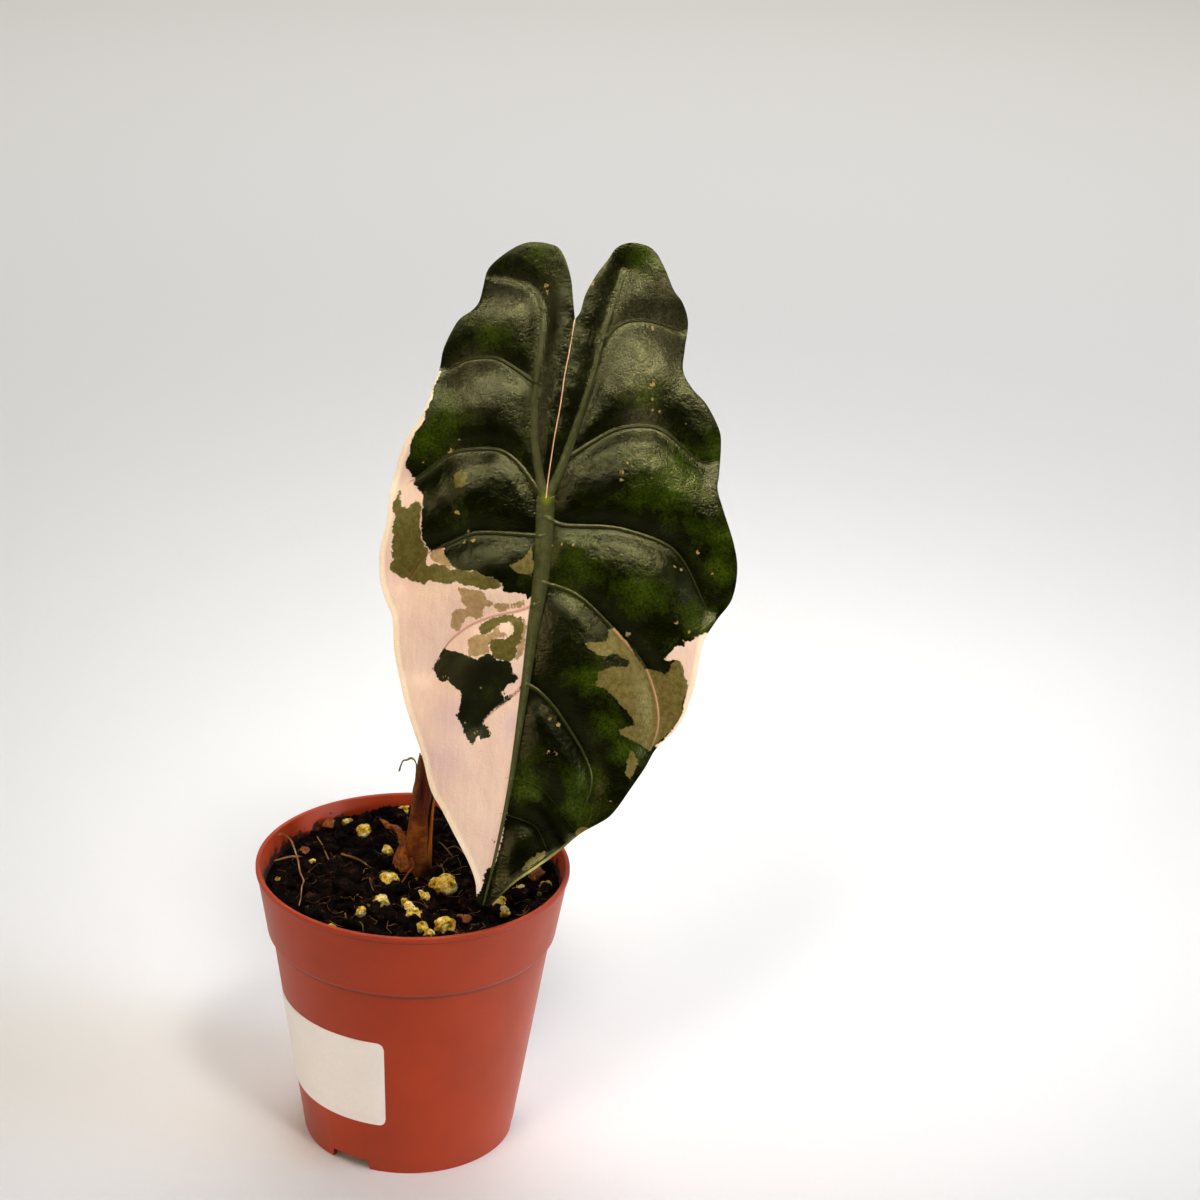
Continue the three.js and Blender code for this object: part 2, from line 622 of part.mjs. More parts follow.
function sheathRow(z, outer, from, to) {
  const [cx, cy] = stalkMiddle(z);
  const inner = Math.max(stalkRadiusAt(z) + SHEATH_GAP, outer - SHEATH_WALL);
  const rows = [[], []];
  for (let side = 0; side < SHEATH_SIDES; side += 1) {
    const azimuth = THREE.MathUtils.degToRad(
      THREE.MathUtils.lerp(from, to, side / (SHEATH_SIDES - 1)),
    );
    [inner + SHEATH_WALL, inner].forEach((radius, i) => {
      rows[i].push([cx + radius * Math.sin(azimuth), cy - radius * Math.cos(azimuth), z]);
    });
  }
  return [...rows[0], ...rows[1].reverse()];
}

function sheathSolid() {
  const wrap = toManifold(loftedSolid(SHEATH.map((row) => sheathRow(...row)), true));
  const curlRadii = CURL.map((_, i) => CURL_RADIUS * (1 - (0.25 * i) / CURL.length));
  const curl = toManifold(loftedSolid(tubeAlong(CURL, curlRadii, 6, 18)));
  return wrap.add(curl);
}

// The sheath's outside grown by the clearance, to cut the older leaf's base clear of it.
function sheathRoom() {
  const route = SHEATH.map(([z]) => [...stalkMiddle(z), z]);
  const radii = SHEATH.map(([z, outer]) => {
    return Math.max(outer, stalkRadiusAt(z) + SHEATH_GAP + SHEATH_WALL) + CLEARANCE;
  });
  return toManifold(loftedSolid(tubeAlong(route, radii, 20, 16)));
}

function oldBaseSolid() {
  const part = (rows, sides, steps) => {
    const radii = rows.map((p) => p[3]);
    return toManifold(loftedSolid(tubeAlong(rows.map(([x, y, z]) => [x, y, z]), radii, sides, steps)));
  };
  const whole = part(OLD_BASE, 12, 8).add(part(OLD_STUB, 8, 8));
  return fromManifold(mainBody(whole.subtract(sheathRoom())));
}

function finish(color, roughness) {
  return new THREE.MeshStandardMaterial({ color, roughness, metalness: 0 });
}

function piece(name, geometry, material) {
  const mesh = new THREE.Mesh(geometry, material);
  mesh.name = name;
  mesh.geometry.computeVertexNormals();
  return mesh;
}

const plant = new THREE.Group();
plant.add(
  piece('pot', potSolid(), finish(0xa04028, 0.5)),
  piece('label', labelSolid(), finish(0xe2dace, 0.7)),
  piece('soil', soilSolid(), finish(0x2a1c14, 0.95)),
  piece('petiole', petioleSolid(), finish(0x6e3714, 0.5)),
  piece('sheath', fromManifold(mainBody(sheathSolid())), finish(0x8a5a28, 0.7)),
  piece('old_leaf_base', oldBaseSolid(), finish(0x96551e, 0.7)),
  piece('leaf_blade', bladeSolid(), finish(0x1f2c0c, 0.35)),
);

export default plant;
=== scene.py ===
# Potted alocasia: one variegated, quilted leaf on its stalk, in peat, in a moulded nursery pot.
# Lengths in the dictionaries are millimetres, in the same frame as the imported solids.
import math
import random
from functools import partial

import bpy
import numpy as np
from mathutils import Euler, Matrix, Vector, noise


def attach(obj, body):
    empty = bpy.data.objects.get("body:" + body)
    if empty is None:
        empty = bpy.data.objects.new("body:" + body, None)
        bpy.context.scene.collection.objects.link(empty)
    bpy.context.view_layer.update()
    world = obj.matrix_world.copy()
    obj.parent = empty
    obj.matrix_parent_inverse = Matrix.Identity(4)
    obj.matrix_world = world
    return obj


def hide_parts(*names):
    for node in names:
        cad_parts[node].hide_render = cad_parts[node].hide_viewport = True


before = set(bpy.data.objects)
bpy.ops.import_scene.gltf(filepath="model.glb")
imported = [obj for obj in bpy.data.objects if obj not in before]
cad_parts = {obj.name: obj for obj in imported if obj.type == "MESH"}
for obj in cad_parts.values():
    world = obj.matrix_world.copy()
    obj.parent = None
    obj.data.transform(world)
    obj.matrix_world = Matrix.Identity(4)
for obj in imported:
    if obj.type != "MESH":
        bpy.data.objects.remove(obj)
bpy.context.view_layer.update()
mm = 0.001
print("frame loaded")


# Small helpers for selecting, placing and finishing a piece

def pickOnly(*pieces):
    bpy.ops.object.select_all(action="DESELECT")
    for piece in pieces:
        piece.select_set(True)
    bpy.context.view_layer.objects.active = pieces[0]


def applyModifier(piece, kind, **settings):
    pickOnly(piece)
    modifier = piece.modifiers.new(kind.lower(), kind)
    for name, value in settings.items():
        setattr(modifier, name, value)
    bpy.ops.object.modifier_apply(modifier=modifier.name)


def editMesh(piece, *steps):
    pickOnly(piece)
    bpy.ops.object.mode_set(mode="EDIT")
    bpy.ops.mesh.select_all(action="SELECT")
    for step, settings in steps:
        step(**settings)
    bpy.ops.object.mode_set(mode="OBJECT")


def joined(pieces):
    pickOnly(*pieces)
    bpy.ops.object.join()
    return activePiece()


def activePiece():
    return bpy.context.view_layer.objects.active


def pointsOf(piece):
    places = np.zeros(len(piece.data.vertices) * 3)
    piece.data.vertices.foreach_get("co", places)
    return places.reshape(-1, 3)


def movePoints(piece, places):
    piece.data.vertices.foreach_set("co", np.asarray(places, float).ravel())
    piece.data.update()


# A flat grid to be bent into shape, and how far each of its points lies along and across, from 0 to 1.
def makeGrid(columns, rows):
    bpy.ops.mesh.primitive_grid_add(x_subdivisions=columns, y_subdivisions=rows, size=1)
    grid = activePiece()
    along, across = (pointsOf(grid)[:, :2] + 0.5).T
    return grid, along, across


# A piece that is ready: smooth where its faces meet gently, named, with its place in its mesh.
def finishPiece(piece, name, looks, replaced=(), smoothAngle=35):
    pickOnly(piece)
    bpy.ops.object.transform_apply(location=True, rotation=True, scale=True)
    bpy.ops.object.shade_smooth_by_angle(angle=math.radians(smoothAngle))
    piece.name = name
    piece.data.name = name
    piece.data.materials.clear()
    for look in looks:
        piece.data.materials.append(look)
    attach(piece, "root")
    if replaced:
        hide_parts(*replaced)
    print("piece", name, len(piece.data.polygons), "faces")


# Evenly spaced points on a smooth line through the given ones. Columns past the third are carried along.
def smoothLine(points, count, dimensions=2):
    knots = np.array(points, float)
    knots = np.vstack([2 * knots[0] - knots[1], knots, 2 * knots[-1] - knots[-2]])
    share = np.linspace(0, 1, 16, endpoint=False)[:, None]
    fine = []
    for i in range(1, len(knots) - 2):
        a, b, c, d = knots[i - 1:i + 3]
        bend = (2 * a - 5 * b + 4 * c - d) * share**2 + (3 * b - a - 3 * c + d) * share**3
        fine.append(0.5 * (2 * b + (c - a) * share + bend))
    fine = np.vstack(fine + [knots[-2:-1]])
    gaps = np.linalg.norm(np.diff(fine[:, :dimensions], axis=0), axis=1)
    length = np.concatenate([[0], np.cumsum(gaps)])
    even = np.linspace(0, length[-1], count)
    return np.column_stack([np.interp(even, length, column) for column in fine.T])


# A round stem along points that each give x, y, z and radius.
def makeStem(points, steps, sides):
    spine = smoothLine(points, steps, 3)
    bpy.ops.curve.primitive_nurbs_path_add()
    stem = activePiece()
    stem.location = (0, 0, 0)
    curve = stem.data
    curve.splines.clear()
    curve.bevel_depth = mm
    curve.bevel_resolution = sides // 2 - 2
    curve.use_fill_caps = True
    line = curve.splines.new("POLY")
    line.points.add(len(spine) - 1)
    for point, (x, y, z, radius) in zip(line.points, spine):
        point.co = (x * mm, y * mm, z * mm, 1)
        point.radius = radius
    pickOnly(stem)
    bpy.ops.object.convert(target="MESH")
    return activePiece()


# Pushes each point in or out along its normal by smooth noise: size of the lumps, and depth, in mm.
def roughen(piece, lumpSize, depth, seed=0):
    shift = Vector((seed * 7.3, seed * 3.1, seed * 5.7))
    for point in piece.data.vertices:
        push = noise.fractal(point.co / (lumpSize * mm) + shift, 0.9, 2.0, 4)
        point.co += point.normal * push * depth * mm
    piece.data.update()


def makeRoughStem(points, shape):
    stem = makeStem(points, shape["steps"], shape["sides"])
    roughen(stem, shape["lumpSize"], shape["lumpDepth"], shape["seed"])
    return stem


# Helpers for materials

def toLinear(hexColour):
    steps = [int(hexColour[i:i + 2], 16) / 255 for i in (1, 3, 5)]
    return tuple(s / 12.92 if s <= 0.04045 else ((s + 0.055) / 1.055)**2.4 for s in steps) + (1,)


def findSocket(sockets, key):
    if isinstance(key, int):
        return sockets[key]
    return next(socket for socket in sockets if socket.enabled and socket.name == key)


# The settings of these nodes, unless a call gives others
usualSettings = {
    "Math": {"operation": "MULTIPLY"}, "VectorMath": {"operation": "MULTIPLY"}, "Mix": {"data_type": "RGBA"},
}


# Adds a node with its settings. Inputs are given by name, or as a list in their order. Each is a value, a hex
# colour, a socket, or a node whose first live output is taken.
def addNode(material, kind, inputs=(), ramp=(), **settings):
    tree = material.node_tree
    node = tree.nodes.new("ShaderNode" + kind)
    for name, value in {**usualSettings.get(kind, {}), **settings}.items():
        setattr(node, name, value)
    for i, (position, colour) in enumerate(ramp):
        stops = node.color_ramp.elements
        stop = stops[i] if i < 2 else stops.new(position)
        stop.position = position
        stop.color = toLinear(colour)
    named = inputs if isinstance(inputs, dict) else dict(enumerate(inputs))
    for key, value in named.items():
        if isinstance(value, bpy.types.Node):
            value = next(socket for socket in value.outputs if socket.enabled)
        if isinstance(value, bpy.types.NodeSocket):
            tree.links.new(value, findSocket(node.inputs, key))
        else:
            findSocket(node.inputs, key).default_value = toLinear(value) if isinstance(value, str) else value
    return node


# A new material, what adds a node to it, and the place on the piece in metres.
def newMaterial(name):
    material = bpy.data.materials.new(name)
    material.use_nodes = True
    material.node_tree.nodes.clear()
    add = partial(addNode, material)
    return material, add, add("TexCoord").outputs["Object"]


def finishMaterial(material, skin):
    shader = addNode(material, "BsdfPrincipled", skin)
    addNode(material, "OutputMaterial", {"Surface": shader})
    return material


# Camera at the photograph's viewing angle

cameraView = {"place": (50.3, -765.15, 487.41), "pitchDown": 22.6, "roll": 2.47, "lens": 90, "sensor": 36}


def placeCamera(view):
    tilt = Matrix.Rotation(math.radians(90 - view["pitchDown"]), 3, "X")
    turn = tilt @ Matrix.Rotation(math.radians(view["roll"]), 3, "Z")
    place = Vector(view["place"]) * mm
    bpy.ops.object.camera_add(location=place, rotation=turn.to_euler())
    camera = activePiece()
    camera.name = "photoCamera"
    camera.data.lens = view["lens"]
    camera.data.sensor_width = view["sensor"]
    camera.data.clip_start = 0.01
    camera.data.dof.use_dof = False
    bpy.context.scene.camera = camera


placeCamera(cameraView)
print("camera placed")


# Pale floor and soft studio light

studio = {
    "floorSize": 9.0,
    "floorColour": "#EDECEA",
    "worldColour": "#FFF3D7",
    "worldStrength": 0.24,
    "gamma": 0.86,
}
# Each panel's place and aim in metres, its width in metres, its beam in degrees, its power in watts and its
# colour. A card is only seen mirrored in glossy skins, and lights nothing.
panels = {
    "frontTop": {
        "place": (0.33, -0.54, 1.16), "aim": (0.1, 0.09, 0.2),
        "size": 0.27, "spread": 30, "power": 0.31, "colour": "#FFFDFA",
    },
    "frontTopLeft": {
        "place": (-0.22, -0.64, 1.06), "aim": (0.07, 0.07, 0.2),
        "size": 0.27, "spread": 30, "power": 0.145, "colour": "#FFFDFA",
    },
    "frontLeft": {
        "place": (-0.75, -0.75, 0.45), "aim": (0.02, 0, 0.06),
        "size": 0.4, "spread": 20, "power": 0.12, "colour": "#FFEAD8",
    },
    "right": {
        "place": (1.8, -0.3, 1.2), "aim": (0.4, 0.1, 0.0),
        "size": 1.0, "spread": 70, "power": 2.0, "colour": "#AACAFF", "mirrored": False,
    },
    "lowRight": {
        "place": (1.0, -0.3, 0.16), "aim": (0.03, 0, 0.06),
        "size": 0.3, "spread": 15, "power": 0.1, "colour": "#EEF2FF",
    },
    "back": {
        "place": (0.2, 1.3, 1.8), "aim": (0, 1.0, 0),
        "size": 2.0, "spread": 150, "power": 21, "colour": "#FBFCFF",
    },
    "rightCard": {
        "place": (0.54, -0.62, 1.05), "aim": (0.06, 0.02, 0.22),
        "size": 0.3, "spread": 120, "power": 1.75, "colour": "#FFF6E8", "card": True,
    },
    "leftCard": {
        "place": (-0.28, -0.65, 1.03), "aim": (0.03, 0.02, 0.22),
        "size": 0.3, "spread": 120, "power": 0.62, "colour": "#FFF6E8", "card": True,
    },
}


# Backdrop paper: even, pale and matt.
def mattePaper(colour):
    paper, _, _ = newMaterial("Matte backdrop paper")
    return finishMaterial(paper, {"Base Color": colour, "Roughness": 0.9})


def addPanel(name, values):
    place = Vector(values["place"])
    aim = (Vector(values["aim"]) - place).to_track_quat("-Z", "Y").to_euler()
    bpy.ops.object.light_add(type="AREA", location=place, rotation=aim)
    panel = activePiece()
    panel.name = name
    panel.data.shape = "DISK"
    panel.data.size = values["size"]
    panel.data.spread = math.radians(values["spread"])
    panel.data.energy = values["power"]
    panel.data.color = toLinear(values["colour"])[:3]
    panel.visible_diffuse = not values.get("card", False)
    panel.visible_glossy = values.get("mirrored", True)


def lightStudio(values):
    bpy.ops.mesh.primitive_plane_add(size=values["floorSize"])
    floor = activePiece()
    floor.name = "floor"
    floor.data.materials.append(mattePaper(values["floorColour"]))
    for name, panel in panels.items():
        addPanel(name, panel)
    world = bpy.data.worlds.new("studioLight")
    world.use_nodes = True
    background = world.node_tree.nodes["Background"]
    background.inputs["Color"].default_value = toLinear(values["worldColour"])
    background.inputs["Strength"].default_value = values["worldStrength"]
    world.cycles_visibility.glossy = False  # only the panels and the floor are mirrored
    bpy.context.scene.world = world
    bpy.context.scene.view_settings.view_transform = "Standard"
    bpy.context.scene.view_settings.gamma = values["gamma"]


lightStudio(studio)
print("studio lit")


# Nursery pot, injection moulded

potShape = {
    "height": 85, "rimRadius": 45, "rimThickness": 1.3, "lipHeight": 1.5, "lipOverhang": 0.45,
    "collarHeight": 19.7, "collarFootRadius": 41.6, "shoulderDrop": 1.8, "shoulderRadius": 40.1,
    "baseRadius": 30.7, "wall": 1.2, "floorUnderside": 3, "floorThickness": 1.3, "footWidth": 1.8,
    "stepOut": 0.5, "stepUp": 0.7, "lipDraft": 0.3, "padRadius": 5, "padDraft": 0.4,
    "edgeRound": 0.3, "roundSteps": 3, "sharpAngle": 25, "turns": 180, "weld": 0.01,
    "notchCount": 3, "notchAzimuth": -29, "notchWidth": 13.2, "notchTaper": 0.8, "notchHeight": 3.2,
    "slotLength": 6, "slotWidth": 8, "slotInset": 0.6,
    "holeCount": 6, "holeRadius": 2.6, "holeCircle": 14, "holeSides": 32, "cutMargin": 1,
}


# Outer radius of the tapered body below the collar
def bodyRadius(height):
    top = potShape["height"] - potShape["collarHeight"] - potShape["shoulderDrop"]
    return potShape["baseRadius"] + (potShape["shoulderRadius"] - potShape["baseRadius"]) * height / top


def innerRadius(height):
    collarFoot = potShape["height"] - potShape["collarHeight"]
    stepFoot = collarFoot - potShape["shoulderDrop"]
    heights = [stepFoot, collarFoot, potShape["height"]]
    radii = [
        potShape["shoulderRadius"] - potShape["wall"],
        potShape["collarFootRadius"] - potShape["wall"],
        potShape["rimRadius"] - potShape["rimThickness"],
    ]
    if height < stepFoot:
        return bodyRadius(height) - potShape["wall"]
    return float(np.interp(height, heights, radii))


def makeCutter(width, depth, low, high, reach, azimuth, taper=0):
    bpy.ops.mesh.primitive_cube_add(size=1)
    cutter = activePiece()
    places = pointsOf(cutter)
    upper = places[:, 2] > 0
    places[:, 0] *= width - 2 * taper * upper
    places[:, 1] = places[:, 1] * depth - reach
    places[:, 2] = np.where(upper, high, low)
    movePoints(cutter, places * mm)
    cutter.rotation_euler = (0, 0, math.radians(azimuth))
    return cutter


def makePot(shape):
    collarFoot = shape["height"] - shape["collarHeight"]
    stepFoot = collarFoot - shape["shoulderDrop"]
    lipFoot = shape["height"] - shape["lipHeight"]
    floorTop = shape["floorUnderside"] + shape["floorThickness"]
    footInner = shape["baseRadius"] - shape["footWidth"]
    profile = [
        (0, 0), (shape["padRadius"], 0), (shape["padRadius"] - shape["padDraft"], shape["floorUnderside"]),
        (footInner, shape["floorUnderside"]), (footInner, 0), (shape["baseRadius"], 0),
        (shape["shoulderRadius"], stepFoot),
        (shape["shoulderRadius"] + shape["stepOut"], stepFoot + shape["stepUp"]),
        (shape["collarFootRadius"], collarFoot),
        (shape["rimRadius"] - shape["lipOverhang"], lipFoot - shape["lipDraft"]),
        (shape["rimRadius"], lipFoot), (shape["rimRadius"], shape["height"]),
        (shape["rimRadius"] - shape["rimThickness"], shape["height"]), (innerRadius(collarFoot), collarFoot),
        (innerRadius(stepFoot), stepFoot), (innerRadius(floorTop), floorTop), (0, floorTop),
    ]
    bpy.ops.mesh.primitive_circle_add(vertices=len(profile), radius=1)
    pot = activePiece()
    movePoints(pot, np.array([(radius, 0, height) for radius, height in profile]) * mm)
    editMesh(
        pot,
        (bpy.ops.mesh.spin, {
            "steps": shape["turns"], "angle": 2 * math.pi, "center": (0, 0, 0), "axis": (0, 0, 1),
        }),
        (bpy.ops.mesh.select_all, {"action": "SELECT"}),
        (bpy.ops.mesh.remove_doubles, {"threshold": shape["weld"] * mm}),
        (bpy.ops.mesh.delete_loose, {}),
        (bpy.ops.mesh.select_all, {"action": "SELECT"}),
        (bpy.ops.mesh.normals_make_consistent, {}),
    )
    applyModifier(
        pot, "BEVEL", width=shape["edgeRound"] * mm, segments=shape["roundSteps"], limit_method="ANGLE",
        angle_limit=math.radians(shape["sharpAngle"]), use_clamp_overlap=True,
    )
    margin = shape["cutMargin"]
    notches, slots = [], []
    for i in range(shape["notchCount"]):
        azimuth = shape["notchAzimuth"] + i * 360 / shape["notchCount"]
        depth = shape["footWidth"] + 4 * margin
        reach = footInner - margin + depth / 2
        notches.append(makeCutter(
            shape["notchWidth"], depth, -margin, shape["notchHeight"], reach, azimuth, shape["notchTaper"],
        ))
        slotReach = footInner - shape["slotInset"] - shape["slotLength"] / 2
        slots.append(makeCutter(
            shape["slotWidth"], shape["slotLength"], shape["floorUnderside"] - margin, floorTop + margin,
            slotReach, azimuth,
        ))
    for i in range(shape["holeCount"]):
        angle = (i + 0.5) / shape["holeCount"] * 2 * math.pi
        bpy.ops.mesh.primitive_cylinder_add(
            vertices=shape["holeSides"], radius=shape["holeRadius"] * mm,
            depth=(shape["floorThickness"] + 2 * margin) * mm,
            location=(
                shape["holeCircle"] * math.cos(angle) * mm, shape["holeCircle"] * math.sin(angle) * mm,
                (shape["floorUnderside"] + floorTop) / 2 * mm,
            ),
        )
        slots.append(activePiece())
    for cutters in (notches, slots):
        cutter = joined(cutters)
        applyModifier(pot, "BOOLEAN", object=cutter, operation="DIFFERENCE", solver="EXACT")
        bpy.data.objects.remove(cutter)
    return pot


# Polypropylene from a steel mould: an even satin skin with a very fine texture, a little duller where
# it has been handled, and peat rubbed on the inside above the soil.
def mouldedPolypropylene():
    plastic, add, place = newMaterial("Moulded polypropylene")
    tone = add("TexNoise", {"Vector": place, "Scale": 45, "Detail": 3})
    colour = add("ValToRGB", {"Fac": tone}, ramp=[(0.3, "#A63A0D"), (0.7, "#B44110")])
    parts = add("SeparateXYZ", {"Vector": place}).outputs
    flat = add("VectorMath", [place, (1, 1, 0)])
    radius = add("VectorMath", [flat], operation="LENGTH").outputs["Value"]
    # peat dust on the inner wall, just above the soil. The collar's wall leans out by 0.17 of its height.
    leaning = add("Math", [parts["Z"], -0.17, radius], operation="MULTIPLY_ADD")
    inner = add("MapRange", {"Value": leaning, "From Min": 0.0301, "From Max": 0.0297})
    overSoil = add("Math", [parts["Z"], 0.0755], operation="GREATER_THAN")
    inside = add("Math", [inner, overSoil])
    low = add("MapRange", {
        "Value": parts["Z"], "From Min": 0.0835, "From Max": 0.0785, "To Min": -0.1, "To Max": 0.14,
    })
    smearNoise = add("TexNoise", {"Vector": place, "Scale": 260, "Detail": 6, "Roughness": 0.7})
    smearLevel = add("Math", [smearNoise, low], operation="ADD")
    smear = add("MapRange", {"Value": smearLevel, "From Min": 0.54, "From Max": 0.62})
    smeared = add("Math", [smear, inside])
    dustAndShade = add("Mix", {"Factor": smeared, "A": colour, "B": "#2A1710"})
    # painted shade: a dark line in the corner under the lip and under the collar's step, where shadow falls
    outside = add("Math", [leaning, 0.0302], operation="GREATER_THAN")
    creaseShades = []
    for height, near, far in ((0.08315, 0.0001, 0.0004), (0.0638, 0.0003, 0.0009)):
        above = add("Math", [parts["Z"], height], operation="SUBTRACT")
        away = add("Math", [above], operation="ABSOLUTE")
        creaseShades.append(add("MapRange", {
            "Value": away, "From Min": near, "From Max": far, "To Min": 0.42, "To Max": 0,
        }))
    lipShade = add("Math", [creaseShades[0], outside])
    paintedCreaseShade = add("Math", [lipShade, creaseShades[1]], operation="MAXIMUM")
    # the painted shade of the creases is mixed over the peat dust
    dustAndShade = add("Mix", {"Factor": paintedCreaseShade, "A": dustAndShade, "B": "#3A1208"})
    wear = add("TexNoise", {"Vector": place, "Scale": 120, "Detail": 5})
    gloss = add("MapRange", {"Value": wear, "To Min": 0.42, "To Max": 0.56})
    # spark-eroded mould texture, drawn at about 0.45 mm so that it shows
    skin = add("TexNoise", {"Vector": place, "Scale": 2200, "Detail": 2})
    bump = add("Bump", {"Height": skin, "Strength": 0.8, "Distance": 0.09 * mm})
    return finishMaterial(plastic, {
        "Base Color": dustAndShade, "Roughness": gloss, "Normal": bump, "IOR": 1.49, "Specular IOR Level": 0.48,
        "Sheen Weight": 0.14, "Sheen Roughness": 0.35,
    })


pot = makePot(potShape)
finishPiece(pot, "nurseryPot", [mouldedPolypropylene()], ["pot"], smoothAngle=28)


# Bare paper label on the pot's left front

labelShape = {
    "rightAzimuth": -7.5, "width": 50, "low": 17.3, "high": 46.8, "thickness": 0.14, "corner": 2.2,
    "stand": 0.06, "columns": 90, "rows": 24, "crowding": 0.175,
}


def makeLabel(shape):
    label, across, up = makeGrid(shape["columns"], shape["rows"])
    # columns crowd at both ends, where the corners are round
    across = across - shape["crowding"] / math.pi * np.sin(2 * math.pi * across)
    middle = (shape["low"] + shape["high"]) / 2
    sweep = shape["width"] / bodyRadius(middle)
    fromEnd = np.minimum(across, 1 - across) * shape["width"]
    cut = shape["corner"] * (1 - np.sqrt(1 - np.clip(1 - fromEnd / shape["corner"], 0, 1)**2))
    height = (shape["low"] + cut) * (1 - up) + (shape["high"] - cut) * up
    radius = bodyRadius(height) + shape["stand"]
    azimuth = math.radians(shape["rightAzimuth"]) - sweep * (1 - across)
    movePoints(label, np.column_stack([radius * np.sin(azimuth), -radius * np.cos(azimuth), height]) * mm)
    applyModifier(label, "SOLIDIFY", thickness=shape["thickness"] * mm, offset=1)
    return label


# Coated self-adhesive paper: nearly even white, with a soft fibre tone.
def coatedPaper():
    paper, add, place = newMaterial("Coated label paper")
    fibre = add("TexNoise", {"Vector": place, "Scale": 900, "Detail": 4, "Roughness": 0.6})
    cloud = add("TexNoise", {"Vector": place, "Scale": 60, "Detail": 2})
    tone = add("Math", [fibre, cloud])
    colour = add("ValToRGB", {"Fac": tone}, ramp=[(0.1, "#F6F1EB"), (0.4, "#FBF8F3")])
    bump = add("Bump", {"Height": fibre, "Strength": 0.2, "Distance": 0.02 * mm})
    return finishMaterial(paper, {"Base Color": colour, "Roughness": 0.55, "Normal": bump, "IOR": 1.5})


finishPiece(makeLabel(labelShape), "paperLabel", [coatedPaper()], ["label"])


# Leaf blade, drawn flat in millimetres from the joint with the stalk, y towards the lobes

bladeShape = {
    "joint": (34.2, 9.6, 194.1), "lean": 22.6, "roll": 2.5,
    "thickness": 0.55, "edgeThickness": 0.3, "ribDepth": 1.7, "ribWidth": 2.4,
    "shoulderHeight": 1.3, "shoulderWidth": 3.4, "domeHeight": 2.0, "domeWidth": 9,
    "tipDrop": 7, "tipShift": -17.5, "tipBend": 1.6, "lobeDrop": 6, "lobeShift": 4,
    "sideDrop": 6, "halfWidth": 50, "edgeDrop": 0.15, "edgeReach": 0.8, "edgeTaper": 2,
    "ribRise": 0.4, "ribFade": 0.75, "ribFadeReach": 100, "spokes": 600, "rings": 80, "weld": 0.002,
    "wrinkle": 0.2, "wrinkleSize": 7, "wrinkleFrom": 4,
    "lobeRoll": 3, "rollRight": 4, "rollSlant": 0.28, "rollReach": 20, "rollMost": 1.2, "rollAbove": 18,
    "rollLength": 28, "curlRise": 1.1, "curlWidth": 0.9, "curlPlace": (-3, -101), "curlReach": 9,
    "curlBelow": -90, "creaseDepth": 0.35, "creaseWidth": 1.2, "creaseAbove": 3, "creaseLength": 8,
    "fleckEdge": 0.5, "cordReach": 2.2, "seamReach": 2, "jointSpot": (0, 0.3, 1.9), "darkRibs": (3, 22),
}
leftMargin = [
    (8, 50), (7.5, 55.5), (7, 61), (5.5, 66.5), (3.5, 70), (1, 71), (-1.5, 71.5), (-5, 71.5), (-9, 70),
    (-14, 66.5), (-16.5, 63.5), (-17.5, 59), (-18.5, 55), (-20.5, 52.5), (-24, 50), (-26.5, 46),
    (-28.5, 41.5), (-29.5, 36.5), (-31.5, 30.5), (-33.5, 25), (-37, 19.5), (-40, 14), (-41.5, 8.5),
    (-43, 3), (-44, -5.5), (-46, -14), (-46, -22), (-44.5, -27.5), (-42.5, -32.5), (-42, -41.5),
    (-40.5, -49.5), (-38.5, -58), (-34.5, -70), (-32, -80), (-29, -85.5), (-26, -91.5), (-22, -99.5),
    (-19.9, -105.3), (-19.5, -109.2), (-19.4, -111.4), (-18, -112.5),
]
rightMargin = [
    (8, 50), (9.5, 52), (11, 57), (14, 62.5), (17, 66.5), (19.5, 70), (23, 71.5), (27.5, 71), (30.5, 69),
    (33, 64.5), (35.5, 58.5), (38, 55), (39.5, 49.5), (38.5, 42), (38, 36), (40.5, 31), (44.5, 26.5),
    (48, 19.5), (48.5, 14.5), (48, 7.5), (47.5, 3), (49, -2.5), (52, -12), (53, -19.5), (51.5, -27.5),
    (47.5, -33), (44, -38.5), (42.5, -44), (41.5, -50), (39, -58), (36, -63.5), (30.5, -69), (27.5, -74),
    (23, -80.5), (19.5, -85.5), (16.5, -88.5), (9.5, -92.5), (4, -97), (-1.5, -101), (-8, -105.5),
    (-13.5, -110.5), (-16, -112.8), (-18, -112.5),
]
